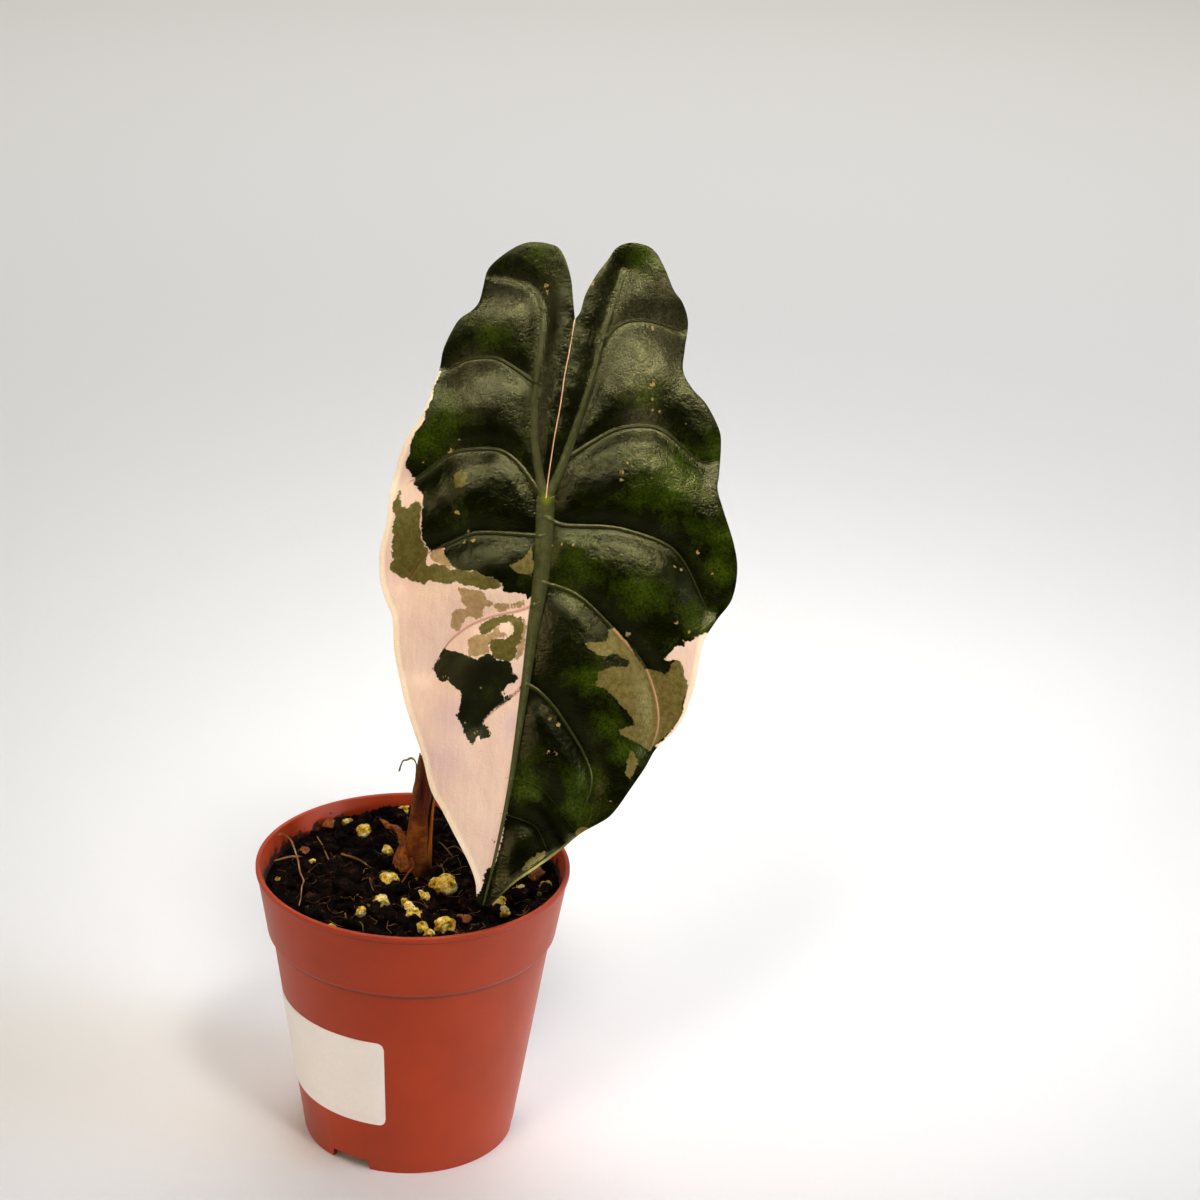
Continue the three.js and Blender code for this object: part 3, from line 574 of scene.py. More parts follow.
# x, y and half width of each vein
mainRibs = [
    [(0, 0, 2.5), (-1.2, -20, 2.15), (-3.7, -36, 1.6), (-5.6, -50, 1.2), (-10, -79, 0.65),
     (-14.5, -100, 0.4), (-17.5, -112, 0.3)],
    [(0, 0, 1.4), (-1.5, 5.5, 1.2), (-3, 16.5, 1.05), (-3, 30.5, 0.85), (-1, 47, 0.6), (-1, 53.5, 0.5),
     (-3.5, 58.5, 0.4), (-10.5, 61, 0.3), (-16, 62, 0.2)],
    [(0, 0, 1.4), (4.5, 9.5, 1.2), (11.5, 29, 0.85), (15, 41.5, 0.65), (18, 52, 0.45), (22, 64, 0.25)],
]
sideVeins = [
    [(-3, 32.5, 0.45), (-9.5, 37, 0.45), (-14.5, 39.5, 0.4), (-21.5, 39, 0.3), (-26.5, 36.5, 0.2)],
    [(-1.5, 1.5, 0.7), (-4.5, 6, 0.6), (-8.5, 11, 0.5), (-14, 14, 0.45), (-24.5, 13.5, 0.4),
     (-30, 10.5, 0.35), (-37, 5.5, 0.25)],
    [(-1.5, -10, 0.6), (-7.5, -9.5, 0.55), (-16.5, -9, 0.5), (-21, -9.5, 0.45), (-28.2, -12.6, 0.35),
     (-32.3, -14.4, 0.25), (-35, -17.1, 0.18), (-38.1, -21.9, 0.12)],
    [(-3.5, -29, 0.6), (-7.8, -30.5, 0.5), (-14.4, -31.9, 0.45), (-20.5, -34.3, 0.4), (-25, -37.4, 0.4),
     (-28.1, -40.9, 0.2), (-31.6, -47, 0.1)],
    [(-5.6, -49, 0.5), (-6.8, -51.5, 0.5), (-10.3, -54.8, 0.45), (-15.4, -58.9, 0.35), (-18.4, -62.2, 0.2)],
    [(16.5, 45, 0.4), (21, 49, 0.4), (27.5, 50, 0.3), (37, 47.5, 0.2)],
    [(7.5, 12.5, 0.6), (12, 15.5, 0.55), (19.5, 19.5, 0.5), (27.5, 20.5, 0.45), (33.5, 18.5, 0.4),
     (42.5, 11, 0.25), (47.5, 11.5, 0.15)],
    [(0.5, -5, 0.65), (5, -7, 0.6), (17.5, -7.5, 0.5), (26, -9.5, 0.45), (33.5, -12.5, 0.4),
     (38.5, -17.5, 0.3), (44.5, -30, 0.2)],
    [(-0.5, -23, 0.65), (6, -25, 0.6), (12, -29, 0.5), (22.5, -40, 0.45), (27.5, -46.5, 0.4),
     (30.5, -55.5, 0.35), (31, -63, 0.3), (29, -69.5, 0.2)],
    [(-5.5, -51, 0.6), (-2.5, -52.5, 0.5), (2, -57, 0.45), (6.5, -63.5, 0.4), (10.5, -70.5, 0.35),
     (12.5, -78, 0.3), (10, -88, 0.2)],
    [(-9.7, -77, 0.2), (-2.5, -79.2, 0.15), (2.8, -84.7, 0.1), (7.4, -91.2, 0.1)],
    [(-11.6, -87, 0.18), (-6.5, -88.8, 0.12), (-2.5, -91.1, 0.1), (0, -97, 0.1)],
]
# the old fold between the lobes, from the sinus to the joint
seamLine = [
    (8, 50.2, 0.3), (7.5, 47, 0.3), (6.3, 40, 0.3), (5.2, 34.5, 0.28), (4, 26, 0.25), (2.5, 18, 0.22),
    (1.4, 11, 0.2), (0.4, 4, 0.2), (0, 0, 0.2),
]
# Outlines of the pale and olive tissue, each closed on itself
pinkOutlines = [
    [(-29, 36.5), (-33.4, 23.2), (-34.5, 20.7), (-35.9, 18.9), (-37, 17.1), (-37.6, 15.3), (-37.4, 13.5),
     (-38.8, 11.3), (-39.1, 9.2), (-37.2, 6.5), (-36.4, 5.8), (-36.8, 4.7), (-35, 2.5), (-34, 1.1),
     (-34.2, -3.2), (-34.6, -8.6), (-34.1, -10.8), (-33.2, -12.8), (-31.8, -14.1), (-28.2, -13.3),
     (-28.2, -14.9), (-27.3, -16.2), (-25.4, -18.5), (-23.5, -19.6), (-19.4, -19.6), (-16.5, -21.1),
     (-14.7, -21.4), (-12, -23.4), (-11.5, -25.2), (-6.6, -25.9), (-5.5, -26.4), (-5.3, -27.8),
     (-4, -26.5), (-4, -38.5), (-6.5, -58), (-10, -79), (-12.6, -95.7), (-13.4, -98.8), (-14.5, -101.6),
     (-16.4, -102), (-17.3, -103.8), (-17.7, -107.5), (-19.3, -109.5), (-30, -115), (-50, -60),
     (-55, 0), (-42, 36)],
    [(46, -36.6), (43.7, -36.8), (42.2, -37.5), (40.3, -39), (38.8, -39.3), (37.9, -40.4), (36.6, -40.1),
     (35.4, -40.9), (34.4, -42.4), (32.7, -44.1), (33.8, -44.4), (35.4, -44), (36.6, -44.3), (37.9, -46.8),
     (37.9, -48.6), (39.1, -51.1), (38.8, -53.6), (38, -56), (37.7, -59.1), (36.3, -61.6), (34.4, -64.1),
     (32.3, -66.6), (30.1, -68.1), (35, -72), (44, -66), (52, -44), (56, -34)],
]
oliveOutlines = [
    [(-40.6, 2.9), (-40.1, 2.3), (-40.4, 0.9), (-39.9, -1.4), (-39, -2.3), (-37.9, -2), (-37.2, -0.9),
     (-36.1, -0.1), (-34.7, -1), (-34.4, -3.2), (-34.8, -5.4), (-34.8, -8.6), (-34.4, -10.8),
     (-33.5, -12.8), (-32.3, -14.1), (-33.2, -15.8), (-33.4, -17.1), (-32.5, -18.7), (-31.4, -17.6),
     (-30, -17.8), (-27.7, -18.2), (-26.4, -19.4), (-24.8, -19), (-21, -19.8), (-19.4, -19.6),
     (-16.5, -21.1), (-14.7, -21.4), (-13.1, -22.5), (-12, -23.9), (-14.2, -24.6), (-15.6, -24.3),
     (-16.9, -24.9), (-19.9, -23.8), (-22.1, -23.7), (-24.1, -23.2), (-25, -22.3), (-27.7, -23.4),
     (-32.3, -22.3), (-33.6, -23.4), (-35, -22.6), (-37.2, -22.5), (-38.8, -21.4), (-40.1, -21.9),
     (-41.7, -20.5), (-43.2, -18.9), (-43.3, -17.8), (-42.4, -16.4), (-42.6, -15.1), (-42.4, -9.5),
     (-42.8, -8.6), (-42.2, -6.3), (-41.7, -4.1), (-42.4, -2.7), (-42.2, -0.5), (-41.3, 0.9)],
    [(-18.9, -36.1), (-17.9, -34.1), (-15.4, -32.8), (-12.9, -32), (-9.3, -31.8), (-8.3, -32),
     (-9.3, -33.3), (-12.4, -34.1), (-14.4, -35.3), (-15.4, -36.8), (-16.9, -37.3)],
    [(-15.9, -40.1), (-14.9, -38.4), (-13.4, -38.1), (-11.3, -38.4), (-9.8, -37.4), (-8.9, -36.6),
     (-8.8, -35.5), (-9.6, -34.2), (-9.9, -33.6), (-8.8, -32.5), (-6.5, -32), (-6.3, -34.3), (-6.5, -36.8),
     (-7, -38.9), (-8.2, -40.4), (-8.2, -42.4), (-9.3, -44.2), (-11.8, -44.4), (-14.4, -43.4)],
    [(-23.5, 8.6), (-23, 7.9), (-22.2, 7.7), (-21.5, 6.3), (-22.1, 5.6), (-22.3, 3.8), (-23.5, 3.1),
     (-24.8, 3.4), (-25, 5), (-25.5, 6.1), (-25, 7.2), (-24.1, 7.7)],
    [(-15.1, -94.2), (-14.4, -93.3), (-13.3, -93.5), (-13.5, -95.1), (-14.5, -95.6)],
]
khakiOutlines = [
    [(-25.3, -23.7), (-23, -24.2), (-18.4, -24.9), (-16.9, -25.7), (-16.4, -27.5), (-12.9, -28.7),
     (-10.3, -28.7), (-7.3, -28), (-5.8, -28.5), (-5.5, -29.8), (-10.3, -30.2), (-12.9, -31.3),
     (-13.4, -30.5), (-14.9, -29.6), (-16.9, -29.8), (-17.7, -30.5), (-16.9, -31.3), (-17.4, -32.3),
     (-19.5, -32.8), (-21, -32), (-22.2, -32.8), (-23.3, -34.3), (-23.3, -35.3), (-24.5, -36.3),
     (-26.3, -35.3), (-26.7, -33.8), (-25.5, -30.5), (-24, -29.8), (-22.2, -30.2), (-22, -29.5),
     (-23.8, -28.2), (-23.3, -27), (-24, -25.7)],
    [(-18.2, -37.1), (-21.2, -37.9), (-21.7, -39.9), (-21.5, -41.4), (-22.2, -42.4), (-21, -43.2),
     (-18.9, -43.4), (-17.7, -42.7), (-15.4, -42.3), (-15.8, -40.4), (-15.1, -38.9), (-13.4, -38.1),
     (-11.3, -38.3), (-10.1, -37.5), (-11, -36.7), (-12.4, -36.3), (-13.3, -35.6), (-12, -34.4),
     (-13.5, -34.7), (-14.9, -36.1), (-16.7, -37.3)],
    [(-31.6, -14), (-30, -13.5), (-28.4, -13.3), (-28.2, -14.9), (-27.2, -16.2), (-25.5, -18.7),
     (-26.4, -19.2), (-27.5, -18.2), (-30.7, -17), (-31.7, -16.2), (-32.3, -15.3)],
    [(-6.5, -31.8), (-5.6, -33.3), (-5.8, -37.9), (-6.3, -42.9), (-7.5, -43.9), (-9.1, -44.3),
     (-8.2, -42.4), (-8.2, -40.4), (-7, -38.9), (-6.5, -36.8)],
]
tanOutlines = [
    [(10.9, -39.3), (14.6, -39.3), (16.5, -38.7), (17.7, -35.9), (19, -35.3), (21.4, -38.1), (24.5, -42.4),
     (27.3, -46.8), (31.4, -47.5), (33.2, -48.3), (34.4, -46.8), (35.1, -44.9), (36.6, -44.3),
     (37.9, -46.8), (37.9, -48.6), (39.1, -51.1), (38.8, -53.6), (38, -56), (37.7, -59.1), (36.3, -61.6),
     (34.4, -64.1), (32, -66.6), (30.1, -67.8), (28.6, -69.7), (27.6, -68.4), (25.2, -67.2),
     (21.4, -65.3), (20.2, -63.8), (22.7, -62.9), (24.5, -61.9), (22.7, -58.5), (20.2, -56.7),
     (19, -54.2), (16.5, -52.3), (13.1, -51.1), (14.3, -49.5), (14.3, -47.7), (16.5, -46.4),
     (19.6, -45.8), (22.1, -46.1), (23.3, -44.9), (23, -44), (21.4, -43.7), (19.9, -42.7), (18.3, -42.4),
     (16.2, -43), (14, -42.7), (12.5, -41.2), (10.9, -40.6)],
    [(-10.5, -18.2), (-8.8, -17.5), (-6.8, -16.6), (-5.5, -15.3), (-4.2, -13.5), (-3.6, -15),
     (-3.3, -18.6), (-4, -21.1), (-5.3, -20.9), (-6.8, -20.6), (-8.3, -19.9)],
    [(23.2, -69.6), (24.2, -69.4), (24.5, -70.9), (25.7, -72), (25.5, -73.1), (24.5, -74.3),
     (24.2, -75.9), (23.2, -77.6), (22.7, -76.5), (21.9, -76.2), (22.1, -74), (21.9, -72.8), (22.7, -71.5)],
    [(7.5, -92.7), (8.4, -91.4), (10, -90.6), (11.5, -90.7), (11.6, -92.4), (8.4, -93.5)],
    [(-8.3, -103.8), (-5.8, -101), (-4, -99.1), (-2.4, -97.9), (-0.6, -97.4), (-0.1, -97.9),
     (-0.9, -99.1), (-4, -101.3), (-6.4, -103.1)],
]
darkOutlines = [
    [(-28.3, -41.1), (-26.3, -41.8), (-25.5, -41.4), (-24.3, -41.8), (-22, -42.8), (-19.2, -43.8),
     (-17.9, -43.2), (-16.4, -42.5), (-15.4, -42.5), (-14.9, -43.2), (-13.6, -44.2), (-12.1, -44.3),
     (-9.6, -45), (-9.4, -47), (-9.2, -47.9), (-8, -48.2), (-7.5, -49.6), (-7.8, -50.3), (-9.3, -50.8),
     (-10.8, -51), (-11.6, -52), (-12.9, -52.8), (-12.4, -53.8), (-11.3, -54.6), (-8.3, -52.8),
     (-6.8, -51.3), (-5.4, -48.8), (-5.8, -51.8), (-8.3, -54), (-10.3, -55.3), (-12.9, -57),
     (-15.4, -58.9), (-17.7, -60.8), (-17.9, -61.9), (-17.3, -62.5), (-15.9, -62.7), (-15.7, -63.7),
     (-14.8, -64), (-15.4, -65.5), (-16.9, -65.7), (-18.2, -66.2), (-18.4, -65.2), (-19.2, -65),
     (-19.7, -66.5), (-20.5, -67.5), (-22, -65.5), (-23, -63.7), (-23.1, -62.4), (-23.8, -61.2),
     (-25.3, -59.7), (-24, -58.1), (-23.7, -55.6), (-23.5, -52.8), (-25.5, -51.3), (-27.1, -49.8),
     (-28.6, -50.3), (-30.1, -49), (-31.3, -46.5), (-30.6, -45.5), (-29.6, -43.4)],
]
# x, y and size of the small pale flecks
flecks = [
    (39.5, -36.5, 0.5), (38, -39, 0.3), (41, -38, 0.3), (22.5, 10, 0.3), (21, 7.5, 0.6), (21, 5.5, 0.4),
    (22.5, -37, 0.8), (42, -14.5, 0.5), (46, -20.5, 0.3), (36, -34, 0.5), (0.6, -69.6, 0.6),
    (2.6, -69.9, 0.6), (18, -83.5, 0.4), (3.4, -62.3, 0.8), (1, -60.6, 0.5), (7.5, -12.5, 0.4),
    (4.5, -12.2, 0.6), (1.5, -12.5, 0.5), (37.6, -19, 0.6), (35.7, -18.4, 0.3), (-26.3, 13.5, 1),
    (-24.5, -3.6, 0.7), (-21.3, -8.6, 0.5), (-22.6, -11.6, 0.4), (-20.2, -11.3, 0.6), (0, 59.5, 0.7),
    (0.3, 57.5, 0.5), (29.5, 48, 0.6), (29.5, 32, 0.9), (29.5, 28, 0.4), (29.5, 25, 0.5), (31.5, 24.5, 0.4),
    (38.5, 21, 0.3), (13, 60, 0.8), (-28.2, -48.9, 0.4), (-26.9, -49.3, 0.3), (-18, -51.6, 0.5),
    (-22.2, -61.3, 0.4), (-19.5, -64.3, 0.4), (-34, 10.4, 0.4), (-23.9, 16.5, 0.4),
]
# x, y and reach of the places where light comes green through the blade
brightPlaces = [
    (-2.5, 69, 4), (-12.5, 46, 6), (-28.5, 22, 7), (-34, 16, 5), (27, 68, 6), (27.5, 32, 6), (34, 5.5, 10),
    (48, 14.5, 4), (48, -10, 6), (27, -25.5, 8), (41, -33, 6), (48, -19, 5), (8, -19.5, 7), (11.5, -50, 5),
    (22.5, -69, 5), (-6, -78, 6), (9.5, -86, 5), (12, -79, 6), (17, -62, 5),
]
mauvePlaces = [(-29, -72, 7), (-26, -60, 5), (-9, -62, 4)]
# x, y and reach of the places where a painted sheen lightens the green to grey
paintedSheenPlaces = [(29, 48, 10), (33, 58, 6), (25, 36, 7), (-9, 55, 6), (-20, 33, 7), (27, 22, 5), (-22, 10, 4)]
# x, y and reach of the smoothest, glossiest skin
sheenPlaces = [(27, 22, 7), (22, -12, 6), (13, -11, 5), (-23, 11, 6), (10, -33, 4), (19, -45, 4)]


def distanceTo(x, y, line, closed=False):
    # nearest distance to the line, its side, and the third column's value there
    points = [tuple(point) + (0,) * (3 - len(point)) for point in line]
    if closed:
        points.append(points[0])
    nearest = np.full(x.shape, np.inf)
    side = np.ones(x.shape)
    width = np.zeros(x.shape)
    for (ax, ay, aw), (bx, by, bw) in zip(points, points[1:]):
        dx, dy = bx - ax, by - ay
        share = np.clip(((x - ax) * dx + (y - ay) * dy) / (dx * dx + dy * dy), 0, 1)
        gapX, gapY = x - ax - share * dx, y - ay - share * dy
        distance = np.hypot(gapX, gapY)
        closer = distance < nearest
        nearest = np.where(closer, distance, nearest)
        side = np.where(closer, np.sign(dx * gapY - dy * gapX), side)
        width = np.where(closer, aw + (bw - aw) * share, width)
    return nearest, side, width


# Distance into a closed outline: positive inside, negative outside, the greatest of several
def depthInside(x, y, outlines):
    deepest = np.full(x.shape, -99.0)
    for outline in outlines:
        distance = distanceTo(x, y, outline, closed=True)[0]
        inside = np.zeros(x.shape, bool)
        for (ax, ay), (bx, by) in zip(outline, outline[1:] + outline[:1]):
            crosses = (ay > y) != (by > y)
            if ay != by:
                inside ^= crosses & (x < (bx - ax) * (y - ay) / (by - ay) + ax)
        deepest = np.maximum(deepest, np.where(inside, distance, -distance))
    return deepest


# The nearest of several veins: plain distance, and signed distance in half widths. The swelling between
# the veins is also given, once for each reach in millimetres.
def acrossVeins(x, y, veins, reaches):
    nearest = np.full(x.shape, np.inf)
    across = np.full(x.shape, 99.0)
    swelling = [np.ones(x.shape) for _ in reaches]
    for vein in veins:
        distance, side, width = distanceTo(x, y, smoothLine(vein, 4 * len(vein)))
        width = np.maximum(width, 0.1)
        closer = distance / width < np.abs(across)
        across = np.where(closer, side * distance / width, across)
        nearest = np.minimum(nearest, distance)
        for swell, reach in zip(swelling, reaches):
            swell *= 1 - np.exp(-(distance / reach)**2)
    return nearest, np.clip(across, -9, 9), swelling


def nearPlaces(x, y, places):
    near = np.zeros(x.shape)
    for placeX, placeY, reach in places:
        near = np.maximum(near, np.exp(-((x - placeX)**2 + (y - placeY)**2) / reach**2))
    return near


def bladeMargin(shape):
    half = shape["spokes"] // 2 + 1
    left = smoothLine(leftMargin, half)
    right = smoothLine(rightMargin, half)[::-1]
    return np.vstack([left[:-1], right])


def bladeHeight(x, y, shoulders, domes, ribAcross, toMargin, shape):
    # steep shoulders beside the veins, then a broad dome between them
    quilt = shape["shoulderHeight"] * shoulders + shape["domeHeight"] * domes
    tipY, lobeY = leftMargin[-1][1], max(point[1] for point in leftMargin)
    share = np.where(y < 0, y / tipY, y / lobeY)
    arch = np.where(y < 0, shape["tipDrop"], shape["lobeDrop"]) * share**2
    middle = np.where(y < 0, shape["tipShift"] * np.abs(share)**shape["tipBend"], shape["lobeShift"] * share)
    side = shape["sideDrop"] * ((x - middle) / shape["halfWidth"])**2
    rib = shape["ribRise"] * np.clip(1 - np.abs(ribAcross)**3, 0, 1)
    edge = shape["edgeDrop"] * np.clip(1 - toMargin / shape["edgeReach"], 0, 1)**2
    # the right lobe rolls back outside its rib
    outside = (x - shape["rollRight"] - y * shape["rollSlant"]) / shape["rollReach"]
    above = (y - shape["rollAbove"]) / shape["rollLength"]
    roll = shape["lobeRoll"] * np.clip(outside, 0, shape["rollMost"]) * np.clip(above, 0, 1)
    curl = shape["curlRise"] * np.exp(-(toMargin / shape["curlWidth"])**2) * curlShare(x, y, shape)
    return quilt - arch - side + rib - edge - roll + curl


# The margin turns up a little between the tip and the lower right
def curlShare(x, y, shape):
    return nearPlaces(x, y, [(*shape["curlPlace"], shape["curlReach"])]) * (y < shape["curlBelow"])


def storeValues(piece, name, columns):
    layer = piece.data.attributes.new(name, "FLOAT_VECTOR", "POINT")
    layer.data.foreach_set("vector", np.column_stack(columns).ravel())


def makeBlade(shape):
    blade, around, share = makeGrid(shape["spokes"], shape["rings"])
    margin = bladeMargin(shape)
    spoke = np.clip(np.rint(around * shape["spokes"]).astype(int), 0, len(margin) - 1)
    x, y = (margin[spoke] * share[:, None]).T
    reaches = (shape["shoulderWidth"], shape["domeWidth"])
    toRib, ribAcross, ribSwelling = acrossVeins(x, y, mainRibs, reaches)
    toSide, sideAcross, sideSwelling = acrossVeins(x, y, sideVeins, reaches)
    shoulders, domes = (a * b for a, b in zip(ribSwelling, sideSwelling))
    toMargin = distanceTo(x, y, margin[::2])[0]
    toSeam, seamSide, _ = distanceTo(x, y, smoothLine(seamLine, 30))
    toVein = np.minimum(toRib, toSide)
    height = bladeHeight(x, y, shoulders, domes, ribAcross, toMargin, shape)
    size = shape["wrinkleSize"]
    wrinkles = [noise.fractal(Vector((a / size, b / size, 3)), 0.8, 2.0, 3) for a, b in zip(x, y)]
    height += shape["wrinkle"] * np.array(wrinkles) * np.clip(toVein / shape["wrinkleFrom"], 0, 1)
    # the fold between the lobes is a shallow crease
    above = (y - shape["creaseAbove"]) / shape["creaseLength"]
    height -= shape["creaseDepth"] * np.exp(-(toSeam / shape["creaseWidth"])**2) * np.clip(above, 0, 1)
    lean = Matrix.Rotation(math.radians(-shape["lean"]), 3, "X")
    turn = np.array(lean @ Matrix.Rotation(math.radians(-shape["roll"]), 3, "Y"))
    places = np.column_stack([x, -height, y]) @ turn.T + np.array(shape["joint"])
    movePoints(blade, places * mm)
    storeValues(blade, "tissue", [
        depthInside(x, y, pinkOutlines), depthInside(x, y, oliveOutlines), depthInside(x, y, khakiOutlines),
    ])
    storeValues(blade, "islands", [
        depthInside(x, y, darkOutlines), depthInside(x, y, tanOutlines), toMargin,
    ])
    fleckReach = [(a, b, size + shape["fleckEdge"]) for a, b, size in flecks]
    storeValues(blade, "touches", [
        nearPlaces(x, y, fleckReach), nearPlaces(x, y, brightPlaces), nearPlaces(x, y, mauvePlaces),
    ])
    storeValues(blade, "veins", [ribAcross, sideAcross, np.exp(-(toSide / shape["cordReach"])**2)])
    darkFrom, darkWithin = shape["darkRibs"]
    storeValues(blade, "spots", [
        nearPlaces(x, y, [shape["jointSpot"]]), nearPlaces(x, y, sheenPlaces),
        np.clip((y - darkFrom) / darkWithin, 0, 1),
    ])
    # painted sheen: where the green is lightened grey, standing in for light reflected on the lobes and domes
    paintedSheen = nearPlaces(x, y, paintedSheenPlaces)
    storeValues(blade, "paintedSheen", [paintedSheen, paintedSheen, paintedSheen])
    storeValues(blade, "lines", [
        seamSide * toSeam, np.exp(-(toSeam / shape["seamReach"])**2) * (y > 0), curlShare(x, y, shape),
    ])
    thinning = shape["edgeThickness"] - shape["thickness"]
    thick = shape["thickness"] + thinning * np.clip(1 - toMargin / shape["edgeTaper"], 0, 1)
    fade = 1 - shape["ribFade"] * np.clip(np.hypot(x, y) / shape["ribFadeReach"], 0, 1)
    thick = thick + shape["ribDepth"] * fade * np.exp(-(toRib / shape["ribWidth"])**2)
    greatest = float(thick.max())
    group = blade.vertex_groups.new(name="thickness")
    for i, weight in enumerate(thick / greatest):
        group.add([i], float(weight), "REPLACE")
    editMesh(blade, (bpy.ops.mesh.remove_doubles, {"threshold": shape["weld"] * mm}))
    facingBack = blade.data.polygons[len(blade.data.polygons) // 2].normal.y > 0
    if facingBack:
        editMesh(blade, (bpy.ops.mesh.flip_normals, {}))
    applyModifier(blade, "SOLIDIFY", thickness=greatest * mm, offset=-1, vertex_group="thickness")
    return blade


# Leathery leaf tissue with a thin waxy skin: very dark green where it is thick, and semi-gloss.
# Tissue without green pigment is pink and matt, and thin layers of green over it look olive or khaki.
# The patches go through the blade, so its underside has them as well.
def waxyLeafTissue():
    leaf, add, place = newMaterial("Waxy variegated leaf tissue")
    parts = {}
    for name in ("tissue", "islands", "touches", "veins", "lines", "spots"):
        layer = add("Attribute", attribute_name=name)
        parts[name] = add("SeparateXYZ", {"Vector": layer.outputs["Vector"]}).outputs
    toMargin = parts["islands"][2]

    # ragged borders: lobes of about 3 mm with teeth of about 0.8 mm
    lobes = add("TexNoise", {"Vector": place, "Scale": 300, "Detail": 1})
    teeth = add("TexNoise", {"Vector": place, "Scale": 1300, "Detail": 3, "Roughness": 0.6})
    lobesOff = add("Math", [lobes, 1.3, -0.65], operation="MULTIPLY_ADD")
    teethOff = add("Math", [teeth, 1.7, -0.85], operation="MULTIPLY_ADD")
    border = add("Math", [lobesOff, teethOff], operation="ADD")
    masks = {}
    for name, source in (
        ("pink", parts["tissue"][0]), ("olive", parts["tissue"][1]), ("khaki", parts["tissue"][2]),
        ("dark", parts["islands"][0]), ("tan", parts["islands"][1]),
    ):
        moved = add("Math", [source, border], operation="ADD")
        masks[name] = add("MapRange", {"Value": moved, "From Min": -0.1, "From Max": 0.1})

    # green tissue: light coming through where it is thin, a painted grey sheen in places, and cells
    cloud = add("TexNoise", {"Vector": place, "Scale": 130, "Detail": 7, "Roughness": 0.66})
    through = add("Math", [parts["touches"][1], 0.34, cloud], operation="MULTIPLY_ADD")
    green = add("ValToRGB", {"Fac": through}, ramp=[(0.38, "#050700"), (0.56, "#101400"), (0.86, "#303C04")])
    # painted sheen: the green is mixed towards a grey in these places
    paintedSheenAttribute = add("Attribute", attribute_name="paintedSheen")
    paintedSheenShare = add("Math", [paintedSheenAttribute.outputs["Fac"], cloud])
    greenWithPaintedSheen = add("Mix", {"Factor": paintedSheenShare, "A": green, "B": "#5A543C"})
    cells = add("TexNoise", {"Vector": place, "Scale": 1500, "Detail": 3, "Roughness": 0.7})
    cellTone = add("MapRange", {
        "Value": cells, "From Min": 0.33, "From Max": 0.67, "To Min": 0.4, "To Max": 1.75,
    })
    greenCells = add("VectorMath", [greenWithPaintedSheen, cellTone])

    # pink tissue, mauve in a few places and creamier at the margin
    blush = add("TexNoise", {"Vector": place, "Scale": 70, "Detail": 4})
    pink = add("ValToRGB", {"Fac": blush}, ramp=[(0.3, "#DABAA8"), (0.7, "#DEC6AE")])
    mauve = add("Math", [parts["touches"][2], 0.75])
    pinkMauve = add("Mix", {"Factor": mauve, "A": pink, "B": "#CDAFAB"})
    rim = add("MapRange", {"Value": toMargin, "From Min": 1.9, "From Max": 1.1, "To Max": 0.75})
    pinkCream = add("Mix", {"Factor": rim, "A": pinkMauve, "B": "#EFDFC2"})
    # fine veins run out and down through it
    slanted = add("Mapping", {"Vector": place, "Rotation": (0, -0.6, 0), "Scale": (1, 0.2, 0.14)})
    streak = add("TexNoise", {"Vector": slanted, "Scale": 900, "Detail": 3, "Roughness": 0.6})
    streakTone = add("MapRange", {
        "Value": streak, "From Min": 0.35, "From Max": 0.7, "To Min": 0.96, "To Max": 1.04,
    })
    pinkVeined = add("VectorMath", [pinkCream, streakTone])
    # net of veins, drawn with meshes of about 1.9 mm so that it shows
    net = add("TexVoronoi", {"Vector": place, "Scale": 520}, feature="DISTANCE_TO_EDGE")
    netLine = add("MapRange", {"Value": net, "From Min": 0, "From Max": 0.14, "To Min": 1, "To Max": 0})
    netSoft = add("Math", [netLine, 0.1])
    pinkNet = add("Mix", {"Factor": netSoft, "A": pinkVeined, "B": "#D4AC9C"})

    # thin green over pink
    mottle = add("TexNoise", {"Vector": place, "Scale": 700, "Detail": 4, "Roughness": 0.65})
    olive = add("ValToRGB", {"Fac": mottle}, ramp=[(0.35, "#524A1E"), (0.65, "#6A602E")])
    khaki = add("ValToRGB", {"Fac": mottle}, ramp=[(0.35, "#997C58"), (0.65, "#AF9168")])
    tan = add("ValToRGB", {"Fac": mottle}, ramp=[(0.35, "#62562B"), (0.65, "#7C6F40")])

    # small ragged flecks
    fleckLevel = add("Math", [parts["touches"][0], 0.8, teeth], operation="MULTIPLY_ADD")
    fleck = add("MapRange", {"Value": fleckLevel, "From Min": 1.1, "From Max": 1.16})

    # side veins: thin cords, whose colour follows the tissue that they cross
    sideAway = add("Math", [parts["veins"][1]], operation="ABSOLUTE")
    cord = add("MapRange", {"Value": sideAway, "From Min": 1.15, "From Max": 0.7})
    cordNear = add("MapRange", {"Value": parts["veins"][2], "From Min": 0.3, "From Max": 0.7})
    cordMask = add("Math", [cord, cordNear])
    cordSoft = add("Math", [cordMask, 0.95])
    cordColour = "#35341B"
    for name, tone in (("pink", "#C79B8C"), ("olive", "#6E4327"), ("dark", "#20230F"), ("tan", "#A9835F")):
        cordColour = add("Mix", {"Factor": masks[name], "A": cordColour, "B": tone})

